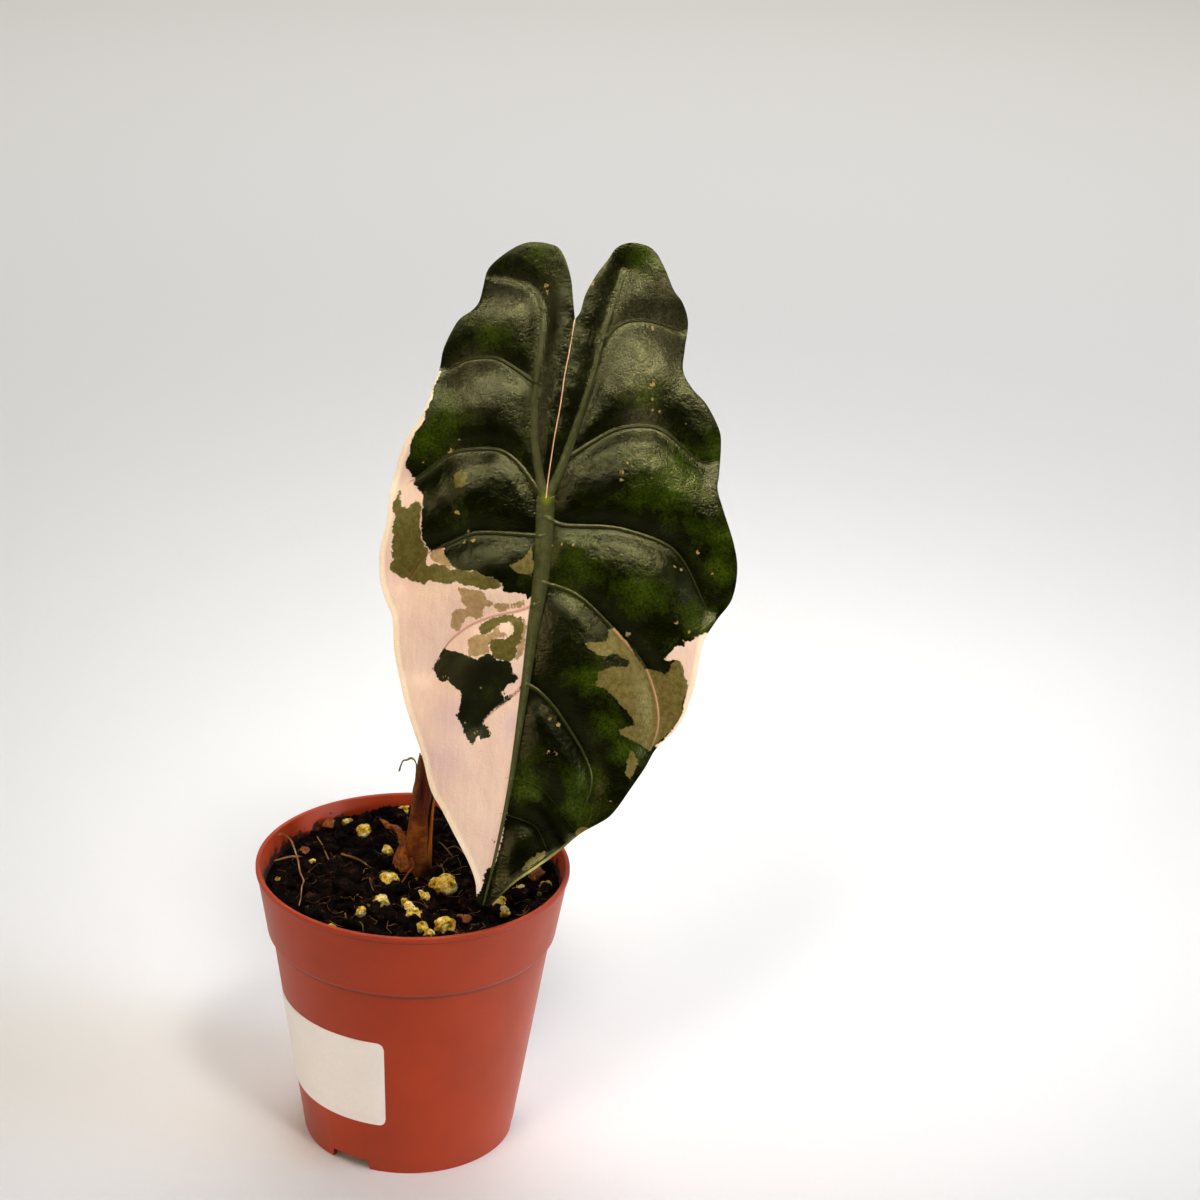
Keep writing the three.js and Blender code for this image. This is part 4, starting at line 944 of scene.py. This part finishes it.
    # main ribs: broad grey-green bands, paler along their middle. The two that run up the lobes are nearly
    # as dark as the blade.
    ribAway = add("Math", [parts["veins"][0]], operation="ABSOLUTE")
    band = add("MapRange", {"Value": ribAway, "From Min": 1.12, "From Max": 0.92})
    streaks = add("TexNoise", {"Vector": place, "Scale": 500, "Detail": 3})
    ribTone = add("Math", [ribAway, 0.5, streaks], operation="MULTIPLY_ADD")
    ribPale = add("ValToRGB", {"Fac": ribTone}, ramp=[(0.4, "#565636"), (1.0, "#3C3F20")])
    lobeRib = add("Math", [parts["spots"][2], 0.75])
    ribColour = add("Mix", {"Factor": lobeRib, "A": ribPale, "B": "#26290F"})

    # a yellow-green spot where the ribs meet
    jointSpot = add("MapRange", {
        "Value": parts["spots"][0], "From Min": 0.35, "From Max": 0.9, "To Max": 0.85,
    })

    # pink line of the old fold, and the turned-up margin near the tip
    seamAway = add("Math", [parts["lines"][0]], operation="ABSOLUTE")
    seam = add("MapRange", {"Value": seamAway, "From Min": 0.21, "From Max": 0.1})
    seamNear = add("Math", [parts["lines"][1], 0.5], operation="GREATER_THAN")
    seamMask = add("Math", [seam, seamNear])
    curlEdge = add("MapRange", {"Value": toMargin, "From Min": 0.7, "From Max": 0.45})
    curlMask = add("Math", [curlEdge, parts["lines"][2]])

    # each layer lies over the ones before it
    colour = greenCells
    for share, layer in (
        (masks["pink"], pinkNet), (masks["khaki"], khaki), (masks["olive"], olive),
        (masks["dark"], greenCells), (masks["tan"], tan), (fleck, "#9A8152"), (cordSoft, cordColour),
        (band, ribColour), (jointSpot, "#6C7A08"), (seamMask, "#CFA283"), (curlMask, "#A9A864"),
    ):
        colour = add("Mix", {"Factor": share, "A": colour, "B": layer})

    # relief in millimetres: net, cells and cords
    netRelief = add("Math", [netLine, -0.022])
    cellRelief = add("Math", [cells, 0.12, netRelief], operation="MULTIPLY_ADD")
    cordRound = add(
        "MapRange", {"Value": sideAway, "From Min": 1.4, "From Max": 0}, interpolation_type="SMOOTHSTEP",
    )
    cordRelief = add("Math", [cordRound, cordNear])
    relief = add("Math", [cordRelief, 0.22, cellRelief], operation="MULTIPLY_ADD")
    bump = add("Bump", {"Height": relief, "Strength": 1.0, "Distance": mm})
    # glossiest where the wax is thickest, and duller on the pink
    gloss = add("MapRange", {"Value": cloud, "To Min": 0.17, "To Max": 0.26})
    glossy = add("Math", [parts["spots"][1], -0.03, gloss], operation="MULTIPLY_ADD")
    roughness = add("Math", [masks["pink"], 0.2, glossy], operation="MULTIPLY_ADD")
    return finishMaterial(leaf, {
        "Base Color": colour, "Roughness": roughness, "Normal": bump, "IOR": 1.42,
        "Specular IOR Level": 0.43, "Specular Tint": (1, 0.98, 0.5, 1),
    })


blade = makeBlade(bladeShape)
finishPiece(blade, "leafBlade", [waxyLeafTissue()], ["leaf_blade"], smoothAngle=60)


# Peat mix that fills the pot, level in front and rising at the back

soilShape = {
    "level": 78, "backRise": 4.2, "leftDrop": 1.2, "roughness": 0.7, "gap": 0.15, "spokes": 260, "rings": 84,
    "clodSize": 4.2, "clodDepth": 2.3, "grainSize": 1.1, "grainDepth": 1.4, "weld": 0.002,
    "topShare": 0.9, "sideTop": 77, "overStep": 65.6, "underStep": 63.4, "overFloor": 0.3,
    "stemPlace": (0.8, 9.5), "stemClear": 5.2, "seed": 11,
    "lumpSize": 0.9, "lumpStretch": (0.75, 1.25), "lumpTurn": 6.3,
}
# Lumps set in the soil: how many models of each kind with how much detail, their first seed and the depth of
# their own lumps, how flat they lie and by how much of their radius they rise over the soil. Crumbs also have
# a count, least and greatest radii, and a reach from the pot's axis.
lumpKinds = {
    "smallCrumbs": {
        "models": 4, "detail": 1, "seed": 0, "depth": 0.6, "flatten": 0.8, "rise": 0.35,
        "count": 760, "radii": (0.3, 0.9), "reach": 41.2,
    },
    "largeCrumbs": {
        "models": 4, "detail": 2, "seed": 9, "depth": 0.75, "flatten": 0.8, "rise": 0.35,
        "count": 150, "radii": (0.9, 2.7), "reach": 39,
    },
    "perlite": {"models": 5, "detail": 4, "seed": 20, "depth": 0.42, "flatten": 0.85, "rise": 0.45},
    "bark": {"models": 3, "detail": 3, "seed": 40, "depth": 0.45, "flatten": 0.6, "rise": 0.4},
    "moss": {"models": 2, "detail": 3, "seed": 50, "depth": 0.4, "flatten": 0.8, "rise": 0.45},
}


def soilHeight(x, y):
    reach = innerRadius(soilShape["level"])
    back, left = np.maximum(0, y / reach), np.maximum(0, -x / reach)
    # waves about 12 mm long, with waves of about 5 mm over them
    clods = np.sin(x * 0.55 + 1.3) * np.cos(y * 0.47) + 0.6 * np.sin(x * 0.93 - y * 0.81 + 0.5)
    level = soilShape["level"] + soilShape["backRise"] * back**2 - soilShape["leftDrop"] * left**2
    return level + soilShape["roughness"] * clods


def makeSoil(shape):
    soil, around, share = makeGrid(shape["spokes"], shape["rings"])
    # the last rings go down the wall and close the underside
    top = shape["topShare"]
    reach = innerRadius(shape["level"]) - shape["gap"]
    radius = reach * np.minimum(share / top, 1)
    angle = around * 2 * math.pi
    x, y = radius * np.cos(angle), radius * np.sin(angle)
    height = soilHeight(x, y)
    for i, (a, b) in enumerate(zip(x, y)):
        clod = noise.fractal(Vector((a / shape["clodSize"], b / shape["clodSize"], 1)), 0.8, 2.2, 3)
        grain = noise.turbulence(Vector((a / shape["grainSize"], b / shape["grainSize"], 9)), 3, True)
        height[i] += clod * shape["clodDepth"] + (grain - 0.5) * shape["grainDepth"]
    below = np.clip((share - top) / (1 - top), 0, 1)
    foot = potShape["floorUnderside"] + potShape["floorThickness"] + shape["overFloor"]
    heights = [foot, shape["underStep"], shape["overStep"], shape["sideTop"]]
    radii = [innerRadius(h) - shape["gap"] for h in heights]
    down = np.interp(below, [0, 0.15, 0.35, 0.5, 0.8, 1], [height.mean(), *heights[::-1], foot])
    inward = np.interp(below, [0, 0.8, 1], [1, 1, 0])
    side = np.interp(down, heights, radii) * inward
    onSide = below > 0
    x = np.where(onSide, side * np.cos(angle), x)
    y = np.where(onSide, side * np.sin(angle), y)
    height = np.where(onSide, down, height)
    movePoints(soil, np.column_stack([x, y, height]) * mm)
    editMesh(
        soil,
        (bpy.ops.mesh.remove_doubles, {"threshold": shape["weld"] * mm}),
        (bpy.ops.mesh.normals_make_consistent, {}),
    )
    return soil


def randomPlaces(rng, count, low, high, reach):
    places = []
    while len(places) < count:
        angle, distance = rng.uniform(0, 2 * math.pi), math.sqrt(rng.random()) * reach
        x, y = distance * math.cos(angle), distance * math.sin(angle)
        fromStem = math.hypot(x - soilShape["stemPlace"][0], y - soilShape["stemPlace"][1])
        if fromStem > soilShape["stemClear"]:
            places.append((x, y, rng.uniform(low, high)))
    return places


# Rough balls, copied, each copy turned, stretched and set in the soil
def scatter(kind, rng, places=()):
    models = []
    for i in range(kind["models"]):
        bpy.ops.mesh.primitive_ico_sphere_add(subdivisions=kind["detail"], radius=mm)
        models.append(activePiece())
        roughen(models[-1], soilShape["lumpSize"], kind["depth"], kind["seed"] + i)
    copies = []
    squash = Matrix.Diagonal((1, 1, kind["flatten"], 1))
    for x, y, radius in places or randomPlaces(rng, kind["count"], *kind["radii"], kind["reach"]):
        model = rng.choice(models)
        copy = model.copy()
        copy.data = model.data.copy()
        bpy.context.scene.collection.objects.link(copy)
        stretch = Matrix.Diagonal((*(radius * rng.uniform(*soilShape["lumpStretch"]) for _ in range(3)), 1))
        turn = Euler([rng.uniform(0, soilShape["lumpTurn"]) for _ in range(3)]).to_matrix().to_4x4()
        place = Vector((x, y, soilHeight(x, y) + radius * kind["rise"])) * mm
        copy.data.transform(Matrix.Translation(place) @ squash @ turn @ stretch)
        copies.append(copy)
    for model in models:
        bpy.data.objects.remove(model)
    return joined(copies)


# Moist peat: very dark brown, matt, with lighter fibre and a faint wet shine on some clods.
def moistPeat():
    peat, add, place = newMaterial("Moist peat mix")
    clods = add("TexNoise", {"Vector": place, "Scale": 320, "Detail": 6, "Roughness": 0.7})
    colour = add("ValToRGB", {"Fac": clods}, ramp=[(0.36, "#090402"), (0.56, "#1E0F07"), (0.74, "#5E3A1C")])
    fine = add("TexNoise", {"Vector": place, "Scale": 1700, "Detail": 5, "Roughness": 0.75})
    speck = add("MapRange", {"Value": fine, "From Min": 0.35, "From Max": 0.7, "To Min": 0.5, "To Max": 1.6})
    # whole clods are blacker or browner than their neighbours
    clump = add("TexNoise", {"Vector": place, "Scale": 150, "Detail": 2})
    clumpTone = add("MapRange", {
        "Value": clump, "From Min": 0.38, "From Max": 0.62, "To Min": 0.3, "To Max": 1.4,
    })
    clumped = add("VectorMath", [colour, clumpTone])
    mottled = add("VectorMath", [clumped, speck])
    wet = add("MapRange", {"Value": clods, "To Min": 0.95, "To Max": 0.6})
    bump = add("Bump", {"Height": fine, "Strength": 0.9, "Distance": 0.5 * mm})
    return finishMaterial(peat, {
        "Base Color": mottled, "Roughness": wet, "Normal": bump, "Specular IOR Level": 0.08,
    })


# Expanded volcanic glass: chalky, pitted and stained yellow by the peat.
def stainedPerlite():
    perlite, add, place = newMaterial("Stained perlite")
    stain = add("TexNoise", {"Vector": place, "Scale": 420, "Detail": 4, "Roughness": 0.6})
    colour = add("ValToRGB", {"Fac": stain}, ramp=[
        (0.34, "#6A480A"), (0.42, "#C89A22"), (0.52, "#E2C65C"), (0.65, "#F5E8B4"),
    ])
    pits = add("TexVoronoi", {"Vector": place, "Scale": 1500}, feature="F1")
    # painted shade: the colour darkens towards the bottom of each pit
    pitShade = add("MapRange", {"Value": pits, "From Min": 0.08, "From Max": 0.4, "To Min": 0.4, "To Max": 1.0})
    pitted = add("VectorMath", [colour, pitShade])
    bump = add("Bump", {"Height": pits, "Strength": 0.8, "Distance": 0.35 * mm})
    return finishMaterial(perlite, {
        "Base Color": pitted, "Roughness": 0.85, "Normal": bump, "Specular IOR Level": 0.2,
    })


# x, y and radius of the grains that show
perlitePlaces = [
    (-6.8, -0.8, 3), (8.9, -3, 3.5), (-7.8, -13.5, 2.4), (-13.3, -18.7, 1.6), (3.1, -9.1, 2.1),
    (1.7, -19.5, 2.4), (4.7, -26.8, 1.7), (10.9, -27.4, 2.5), (6.8, -31.5, 1.5), (-16.9, 27.9, 2.2),
    (-8.6, 17.4, 1.8), (-5.4, 38, 1.9), (24.8, -13, 2.6), (27, -16.5, 1.9), (25.4, -8.3, 1.3),
    (30.8, -1, 1.5), (38, 1, 1.6), (-20.5, -28.4, 1.3), (-26.5, -22.6, 1), (-9.5, -32, 0.7),
    (-20.3, 1.5, 0.9), (-1.4, -12.6, 1.1), (0.2, -15.8, 1.3), (0.7, 2.6, 0.6), (17.5, 21, 2.3),
    (22.5, 29, 1.7), (-30, 10, 1), (12, 33, 1.9), (-39, 1, 0.7), (-22, 33, 1.4), (31, 22, 1.3),
]
barkPlaces = [
    (34.8, 8, 2.8), (16, -22, 1.8), (-27, 30, 2), (-2, 30, 1.8), (20, 8, 1.6), (-16, -8, 1.5), (-33, 16, 1.4),
]
mossyPlaces = [(-7.2, -16.2, 1.6), (5, -28.6, 1), (36.5, -4, 1.1), (-11.6, -16, 0.9)]

soilRandom = random.Random(soilShape["seed"])
crumbs = [scatter(lumpKinds[name], soilRandom) for name in ("smallCrumbs", "largeCrumbs")]
peat = joined([makeSoil(soilShape), *crumbs])
finishPiece(peat, "peatMix", [moistPeat()], ["soil"], smoothAngle=80)
perlite = scatter(lumpKinds["perlite"], soilRandom, perlitePlaces)
finishPiece(perlite, "perliteGrains", [stainedPerlite()], smoothAngle=80)


# Pine bark: orange-brown, split along its grain.
def splitBark(name="Pine bark chip", dark="#5A2C12", pale="#B0692C"):
    bark, add, place = newMaterial(name)
    along = add("Mapping", {"Vector": place, "Scale": (1, 0.3, 1), "Rotation": (0.3, 0.2, 0.6)})
    grain = add("TexNoise", {"Vector": along, "Scale": 900, "Detail": 5, "Roughness": 0.65})
    colour = add("ValToRGB", {"Fac": grain}, ramp=[(0.35, dark), (0.68, pale)])
    bump = add("Bump", {"Height": grain, "Strength": 0.8, "Distance": 0.4 * mm})
    return finishMaterial(bark, {"Base Color": colour, "Roughness": 0.8, "Normal": bump})


bark = scatter(lumpKinds["bark"], soilRandom, barkPlaces)
finishPiece(bark, "barkChips", [splitBark()], smoothAngle=50)
moss = scatter(lumpKinds["moss"], soilRandom, mossyPlaces)
mossLook = splitBark("Algae on perlite", "#3F430E", "#A29A3A")
finishPiece(moss, "mossyGrains", [mossLook], smoothAngle=80)

# Roots and fibres on the soil: x, y, lift over the soil, and radius
fibreLines = [
    [(-22, 13.5, 0.6, 0.3), (-17, 12, 1.2, 0.35), (-12.5, 7.5, 0.5, 0.25)],
    [(-12.5, 0, 0.5, 0.25), (-11.8, -3, 1, 0.25), (-10.5, -6.5, 0.4, 0.2)],
    [(-30, 23.5, 1.2, 0.22), (-28, 18, 1.6, 0.25), (-25.5, 12.5, 0.6, 0.2)],
    [(-17.5, -21.5, 0.5, 0.25), (-16.5, -26, 1.2, 0.25), (-14.5, -30.5, 0.4, 0.2)],
    [(-13, -25.5, 0.6, 0.2), (-12, -28, 1, 0.2), (-11.5, -31, 0.4, 0.15)],
    [(3.5, 23, 0.8, 0.2), (6.5, 20, 1.5, 0.22), (10.5, 15.5, 0.7, 0.2)],
    [(8, 19, 0.8, 0.2), (11, 20.5, 1.4, 0.22), (14, 17.5, 0.7, 0.2)],
    [(7.5, 9.5, 1.5, 0.25), (8.6, 5, 1.8, 0.25), (8.5, 1.5, 0.8, 0.2)],
    [(5, 0.5, 0.8, 0.2), (8.5, 1.5, 1.6, 0.25), (12, -2, 0.6, 0.2)],
    [(-41, 9.5, 1.6, 0.3), (-37, 11, 1.4, 0.35), (-34, 12, 0.8, 0.3)],
]
# x, y, z and radius of the two long strands
paleRoot = [
    (-40.5, 15, 84.2, 0.2), (-39, 16.5, 83.5, 0.24), (-37.2, 17.5, 81.4, 0.28), (-36, 15, 80.4, 0.28),
    (-34, 7.5, 80.2, 0.28), (-32.5, 0, 80.2, 0.26), (-31, -4.5, 79.8, 0.24), (-31.2, -8, 79.6, 0.22),
    (-30.8, -13.5, 79.2, 0.2), (-31, -17, 78.6, 0.15),
]
frontStrand = [
    (-0.9, 5.3, 83.6, 0.25), (-0.3, 4.7, 81.4, 0.3), (-1.6, 3, 79.8, 0.3), (-3, -1.5, 79.2, 0.22),
]
fibreShape = {
    "count": 180, "length": (2.5, 8), "reach": 38, "bend": 0.9, "radius": (0.04, 0.1), "lift": (0.5, 1.3),
}


def makeFibres(lines, shape, rng):
    fibres = []
    for line in lines:
        points = [(x, y, soilHeight(x, y) + lift, radius) for x, y, lift, radius in line]
        fibres.append(makeStem(points, steps=12, sides=6))
    for x, y, length in randomPlaces(rng, shape["count"], *shape["length"], shape["reach"]):
        heading, bend = rng.uniform(0, 2 * math.pi), rng.uniform(-shape["bend"], shape["bend"])
        radius = rng.uniform(*shape["radius"])
        points = []
        for _ in range(4):
            points.append((x, y, soilHeight(x, y) + rng.uniform(*shape["lift"]), radius))
            x, y = x + length / 3 * math.cos(heading), y + length / 3 * math.sin(heading)
            heading += bend
        fibres.append(makeStem(points, steps=8, sides=4))
    return joined(fibres)


# Dry roots, coir and strips of sheath: tan, matt and patchy.
def dryRoot(name="Dry root fibre", dark="#54340F", pale="#A87C3A"):
    root, add, place = newMaterial(name)
    patch = add("TexNoise", {"Vector": place, "Scale": 200, "Detail": 4})
    colour = add("ValToRGB", {"Fac": patch}, ramp=[(0.35, dark), (0.65, pale)])
    fine = add("TexNoise", {"Vector": place, "Scale": 2500, "Detail": 2})
    bump = add("Bump", {"Height": fine, "Strength": 0.5, "Distance": 0.1 * mm})
    return finishMaterial(root, {"Base Color": colour, "Roughness": 0.7, "Normal": bump})


fibres = makeFibres(fibreLines, fibreShape, soilRandom)
finishPiece(fibres, "soilFibres", [dryRoot()], smoothAngle=60)
root = makeStem(paleRoot, steps=60, sides=10)
rootLook = dryRoot("Pale living root", "#80552E", "#BC8C5C")
finishPiece(root, "paleRoot", [rootLook], smoothAngle=60)
strand = makeStem(frontStrand, steps=30, sides=8)
strandLook = dryRoot("Orange sheath fibre", "#6A3410", "#A4622A")
finishPiece(strand, "frontStrand", [strandLook], smoothAngle=60)
print("soil dressed")


# Leaf stalk with the short rootstock under the soil: x, y, z and radius

stalkPoints = [
    (0.8, 9.5, 48.6, 3), (0.8, 9.5, 51, 4.2), (0.8, 9.5, 66, 4.2), (0.8, 9.5, 69.5, 3.4), (0.8, 9.5, 78, 2.9),
    (0.9, 9.5, 87, 2.7), (1.5, 9.6, 95, 2.45), (2.2, 9.9, 103, 2.3), (3, 10.4, 112, 2.2), (6, 12.5, 131, 2.1),
    (12.8, 16.4, 152, 2), (22.2, 19.8, 172, 1.95), (30.2, 19, 185.5, 2), (33.2, 15.8, 191, 2.2),
    (34.2, 12.4, 193, 2.5), (34.2, 11.2, 193.5, 2.7),
]
stalkShape = {"steps": 170, "sides": 36, "lumpSize": 9, "lumpDepth": 0.12, "seed": 3}


# Fleshy stalk skin: brown-red low down and lighter on its left, mottled olive higher up, with a faint
# wet gloss.
def fleshyStalk():
    skin, add, place = newMaterial("Fleshy stalk skin")
    parts = add("SeparateXYZ", {"Vector": place}).outputs
    along = add("Mapping", {"Vector": place, "Scale": (1, 1, 0.12)})
    streaks = add("TexNoise", {"Vector": along, "Scale": 900, "Detail": 4, "Roughness": 0.6})
    brown = add("ValToRGB", {"Fac": streaks}, ramp=[
        (0.35, "#4E1E0C"), (0.55, "#692E12"), (0.75, "#86461C"),
    ])
    mottle = add("TexNoise", {"Vector": along, "Scale": 500, "Detail": 4, "Roughness": 0.6})
    olive = add("ValToRGB", {"Fac": mottle}, ramp=[
        (0.38, "#4A2A18"), (0.5, "#5B5A26"), (0.7, "#7C8040"),
    ])
    high = add("MapRange", {"Value": parts["Z"], "From Min": 0.112, "From Max": 0.150})
    colour = add("Mix", {"Factor": high, "A": brown, "B": olive})
    # the left side is lighter up to where the blade hides it. The stalk leans by 0.09 of its height there.
    leaning = add("Math", [parts["Z"], -0.09, parts["X"]], operation="MULTIPLY_ADD")
    left = add("MapRange", {"Value": leaning, "From Min": -0.0078, "From Max": -0.0092})
    colour = add("Mix", {"Factor": left, "A": colour, "B": "#8A5A34"})
    bump = add("Bump", {"Height": streaks, "Strength": 0.35, "Distance": 0.2 * mm})
    return finishMaterial(skin, {
        "Base Color": colour, "Roughness": 0.42, "Normal": bump, "Specular IOR Level": 0.3,
    })


stalk = makeRoughStem(stalkPoints, stalkShape)
finishPiece(stalk, "leafStalk", [fleshyStalk()], ["petiole"], smoothAngle=60)


# Papery sheath round the foot of the stalk. Each row gives its height, outer radius, and the first and
# last azimuth of the wrap, where 0 is -Y and angles grow towards +X.

sheathShape = {
    "wall": 0.4, "gap": 0.3, "columns": 56, "rows": 90, "pleats": 13, "pleatDepth": 0.04,
    "ragged": 2, "raggedSize": 3,
}
sheathRows = [
    (70, 4.3, 40, 398.5), (78, 4, 40, 398.5), (84, 3.95, 44, 401), (90, 3.7, 52, 404), (96, 3.4, 62, 390),
    (100, 3.3, 72, 366), (101.5, 3.2, 105, 348), (103.5, 3.15, 145, 344), (106, 3.1, 185, 338),
    (109.5, 3, 218, 330), (114.5, 2.9, 262, 296),
]
curlPoints = [
    (-0.9, 9.2, 102, 0.45), (-0.7, 8.9, 104.5, 0.36), (-0.25, 8.6, 107, 0.28), (-0.1, 8.4, 111.4, 0.22),
    (-0.4, 8.3, 112.8, 0.22), (-1, 8.2, 113.8, 0.3), (-1.9, 8.1, 114.1, 0.34), (-2.8, 8.1, 113.5, 0.24),
    (-3.9, 8.1, 113.2, 0.24), (-4.6, 8.2, 111.5, 0.22), (-5, 8.4, 110, 0.26), (-5.1, 8.5, 109.6, 0.14),
]
curlShape = {"steps": 70, "sides": 8, "lumpSize": 1.2, "lumpDepth": 0.06, "seed": 5}


def makeSheath(shape):
    sheath, across, up = makeGrid(shape["columns"], shape["rows"])
    rows = np.array(sheathRows, float)
    low, high = rows[0, 0], rows[-1, 0]
    height = low + (high - low) * up
    outer, first, last = (np.interp(height, rows[:, 0], rows[:, k]) for k in (1, 2, 3))
    ragged = [noise.noise(Vector((h / shape["raggedSize"], 5 * round(a), 2))) for h, a in zip(height, across)]
    first = first + shape["ragged"] * np.array(ragged) * (across < 0.5)
    last = last + shape["ragged"] * np.array(ragged) * (across >= 0.5)
    azimuth = np.radians(first + (last - first) * across)
    stalk = np.array(stalkPoints, float)
    middleX, middleY, stalkRadius = (np.interp(height, stalk[:, 2], stalk[:, k]) for k in (0, 1, 3))
    pleats = shape["pleatDepth"] * np.sin(azimuth * shape["pleats"]) * np.sin(math.pi * up)
    radius = np.maximum(outer, stalkRadius + shape["gap"] + shape["wall"]) + pleats
    places = [middleX + radius * np.sin(azimuth), middleY - radius * np.cos(azimuth), height]
    movePoints(sheath, np.column_stack(places) * mm)
    outward = sheath.data.polygons[len(sheath.data.polygons) // 2]
    centre = Vector((middleX.mean(), middleY.mean(), outward.center.z / mm)) * mm
    if outward.normal.dot(outward.center - centre) < 0:
        editMesh(sheath, (bpy.ops.mesh.flip_normals, {}))
    applyModifier(sheath, "SOLIDIFY", thickness=shape["wall"] * mm, offset=-1)
    return sheath


# Dry leaf sheath: brown paper with fine rings round it, orange where light passes at its right edge,
# dark maroon towards the top of the front and lighter at its upper left.
def paperySheath():
    sheath, add, place = newMaterial("Dry papery sheath")
    parts = add("SeparateXYZ", {"Vector": place}).outputs
    flattened = add("Mapping", {"Vector": place, "Scale": (0.3, 0.3, 1)})
    rings = add("TexNoise", {"Vector": flattened, "Scale": 1300, "Detail": 3, "Roughness": 0.6})
    patches = add("TexNoise", {"Vector": place, "Scale": 260, "Detail": 4})
    level = add("Math", [rings, 0.45, patches], operation="MULTIPLY_ADD")
    brown = add("ValToRGB", {"Fac": level}, ramp=[
        (0.55, "#5A2A0E"), (0.72, "#7E4314"), (0.9, "#9E6126"),
    ])
    foot = add("MapRange", {
        "Value": parts["Z"], "From Min": 0.077, "From Max": 0.087, "To Min": 0.5, "To Max": 1,
    })
    brownFoot = add("VectorMath", [brown, foot])
    # the maroon part leans: its left border moves 0.12 mm to the right for each mm of height
    leaning = add("Math", [parts["Z"], -0.12, parts["X"]], operation="MULTIPLY_ADD")
    rightOf = add("MapRange", {"Value": leaning, "From Min": -0.0126, "From Max": -0.0118})
    highUp = add("MapRange", {"Value": parts["Z"], "From Min": 0.093, "From Max": 0.101})
    maroonShare = add("Math", [rightOf, highUp])
    maroon = add("Mix", {"Factor": maroonShare, "A": brownFoot, "B": "#521E0C"})
    right = add("MapRange", {"Value": parts["X"], "From Min": 0.0034, "From Max": 0.0042})
    low = add("MapRange", {"Value": parts["Z"], "From Min": 0.081, "From Max": 0.086})
    orangeShare = add("Math", [right, low])
    orange = add("Mix", {"Factor": orangeShare, "A": maroon, "B": "#A85E14"})
    left = add("MapRange", {"Value": parts["X"], "From Min": -0.0008, "From Max": -0.0026})
    leftHigh = add("MapRange", {"Value": parts["Z"], "From Min": 0.09, "From Max": 0.1, "To Max": 0.7})
    leftShare = add("Math", [left, leftHigh])
    colour = add("Mix", {"Factor": leftShare, "A": orange, "B": "#93653C"})
    bump = add("Bump", {"Height": rings, "Strength": 0.5, "Distance": 0.15 * mm})
    return finishMaterial(sheath, {
        "Base Color": colour, "Roughness": 0.5, "Normal": bump, "Specular IOR Level": 0.3,
    })


sheath = makeSheath(sheathShape)
finishPiece(sheath, "paperySheath", [paperySheath()], ["sheath"], smoothAngle=50)
curl = makeRoughStem(curlPoints, curlShape)
curlLook = dryRoot("Dried sheath tip", "#4A4A14", "#9A9A3E")
finishPiece(curl, "sheathCurl", [curlLook], smoothAngle=60)


# What is left of an older leaf: a swollen base with a cut stub. x, y, z and radius

oldBasePoints = [
    (-3.2, 8.7, 71, 2.7), (-3.3, 8.7, 75, 3.1), (-3.5, 8.7, 79, 3.2), (-3.4, 8.9, 82.5, 2.6),
    (-3.2, 9.2, 85, 1.7), (-3.1, 9.4, 86.6, 0.7),
]
oldStubPoints = [
    (-3.3, 9.3, 81, 1.4), (-3.5, 9.5, 86, 1.2), (-4.8, 9.7, 89.6, 0.9), (-6.2, 9.9, 90.7, 0.9),
    (-8.2, 10, 91.2, 0.75), (-8.8, 10.1, 92, 0.7), (-10.5, 10.3, 93.2, 0.3),
]
oldBaseShape = {"steps": 60, "sides": 28, "lumpSize": 3, "lumpDepth": 0.35, "seed": 6}
oldStubShape = {"steps": 60, "sides": 20, "lumpSize": 2, "lumpDepth": 0.25, "seed": 7}

oldBase = joined([makeRoughStem(oldBasePoints, oldBaseShape), makeRoughStem(oldStubPoints, oldStubShape)])
oldLook = splitBark("Dry old leaf base", "#5E3010", "#BC701C")
finishPiece(oldBase, "oldLeafBase", [oldLook], ["old_leaf_base"], smoothAngle=60)
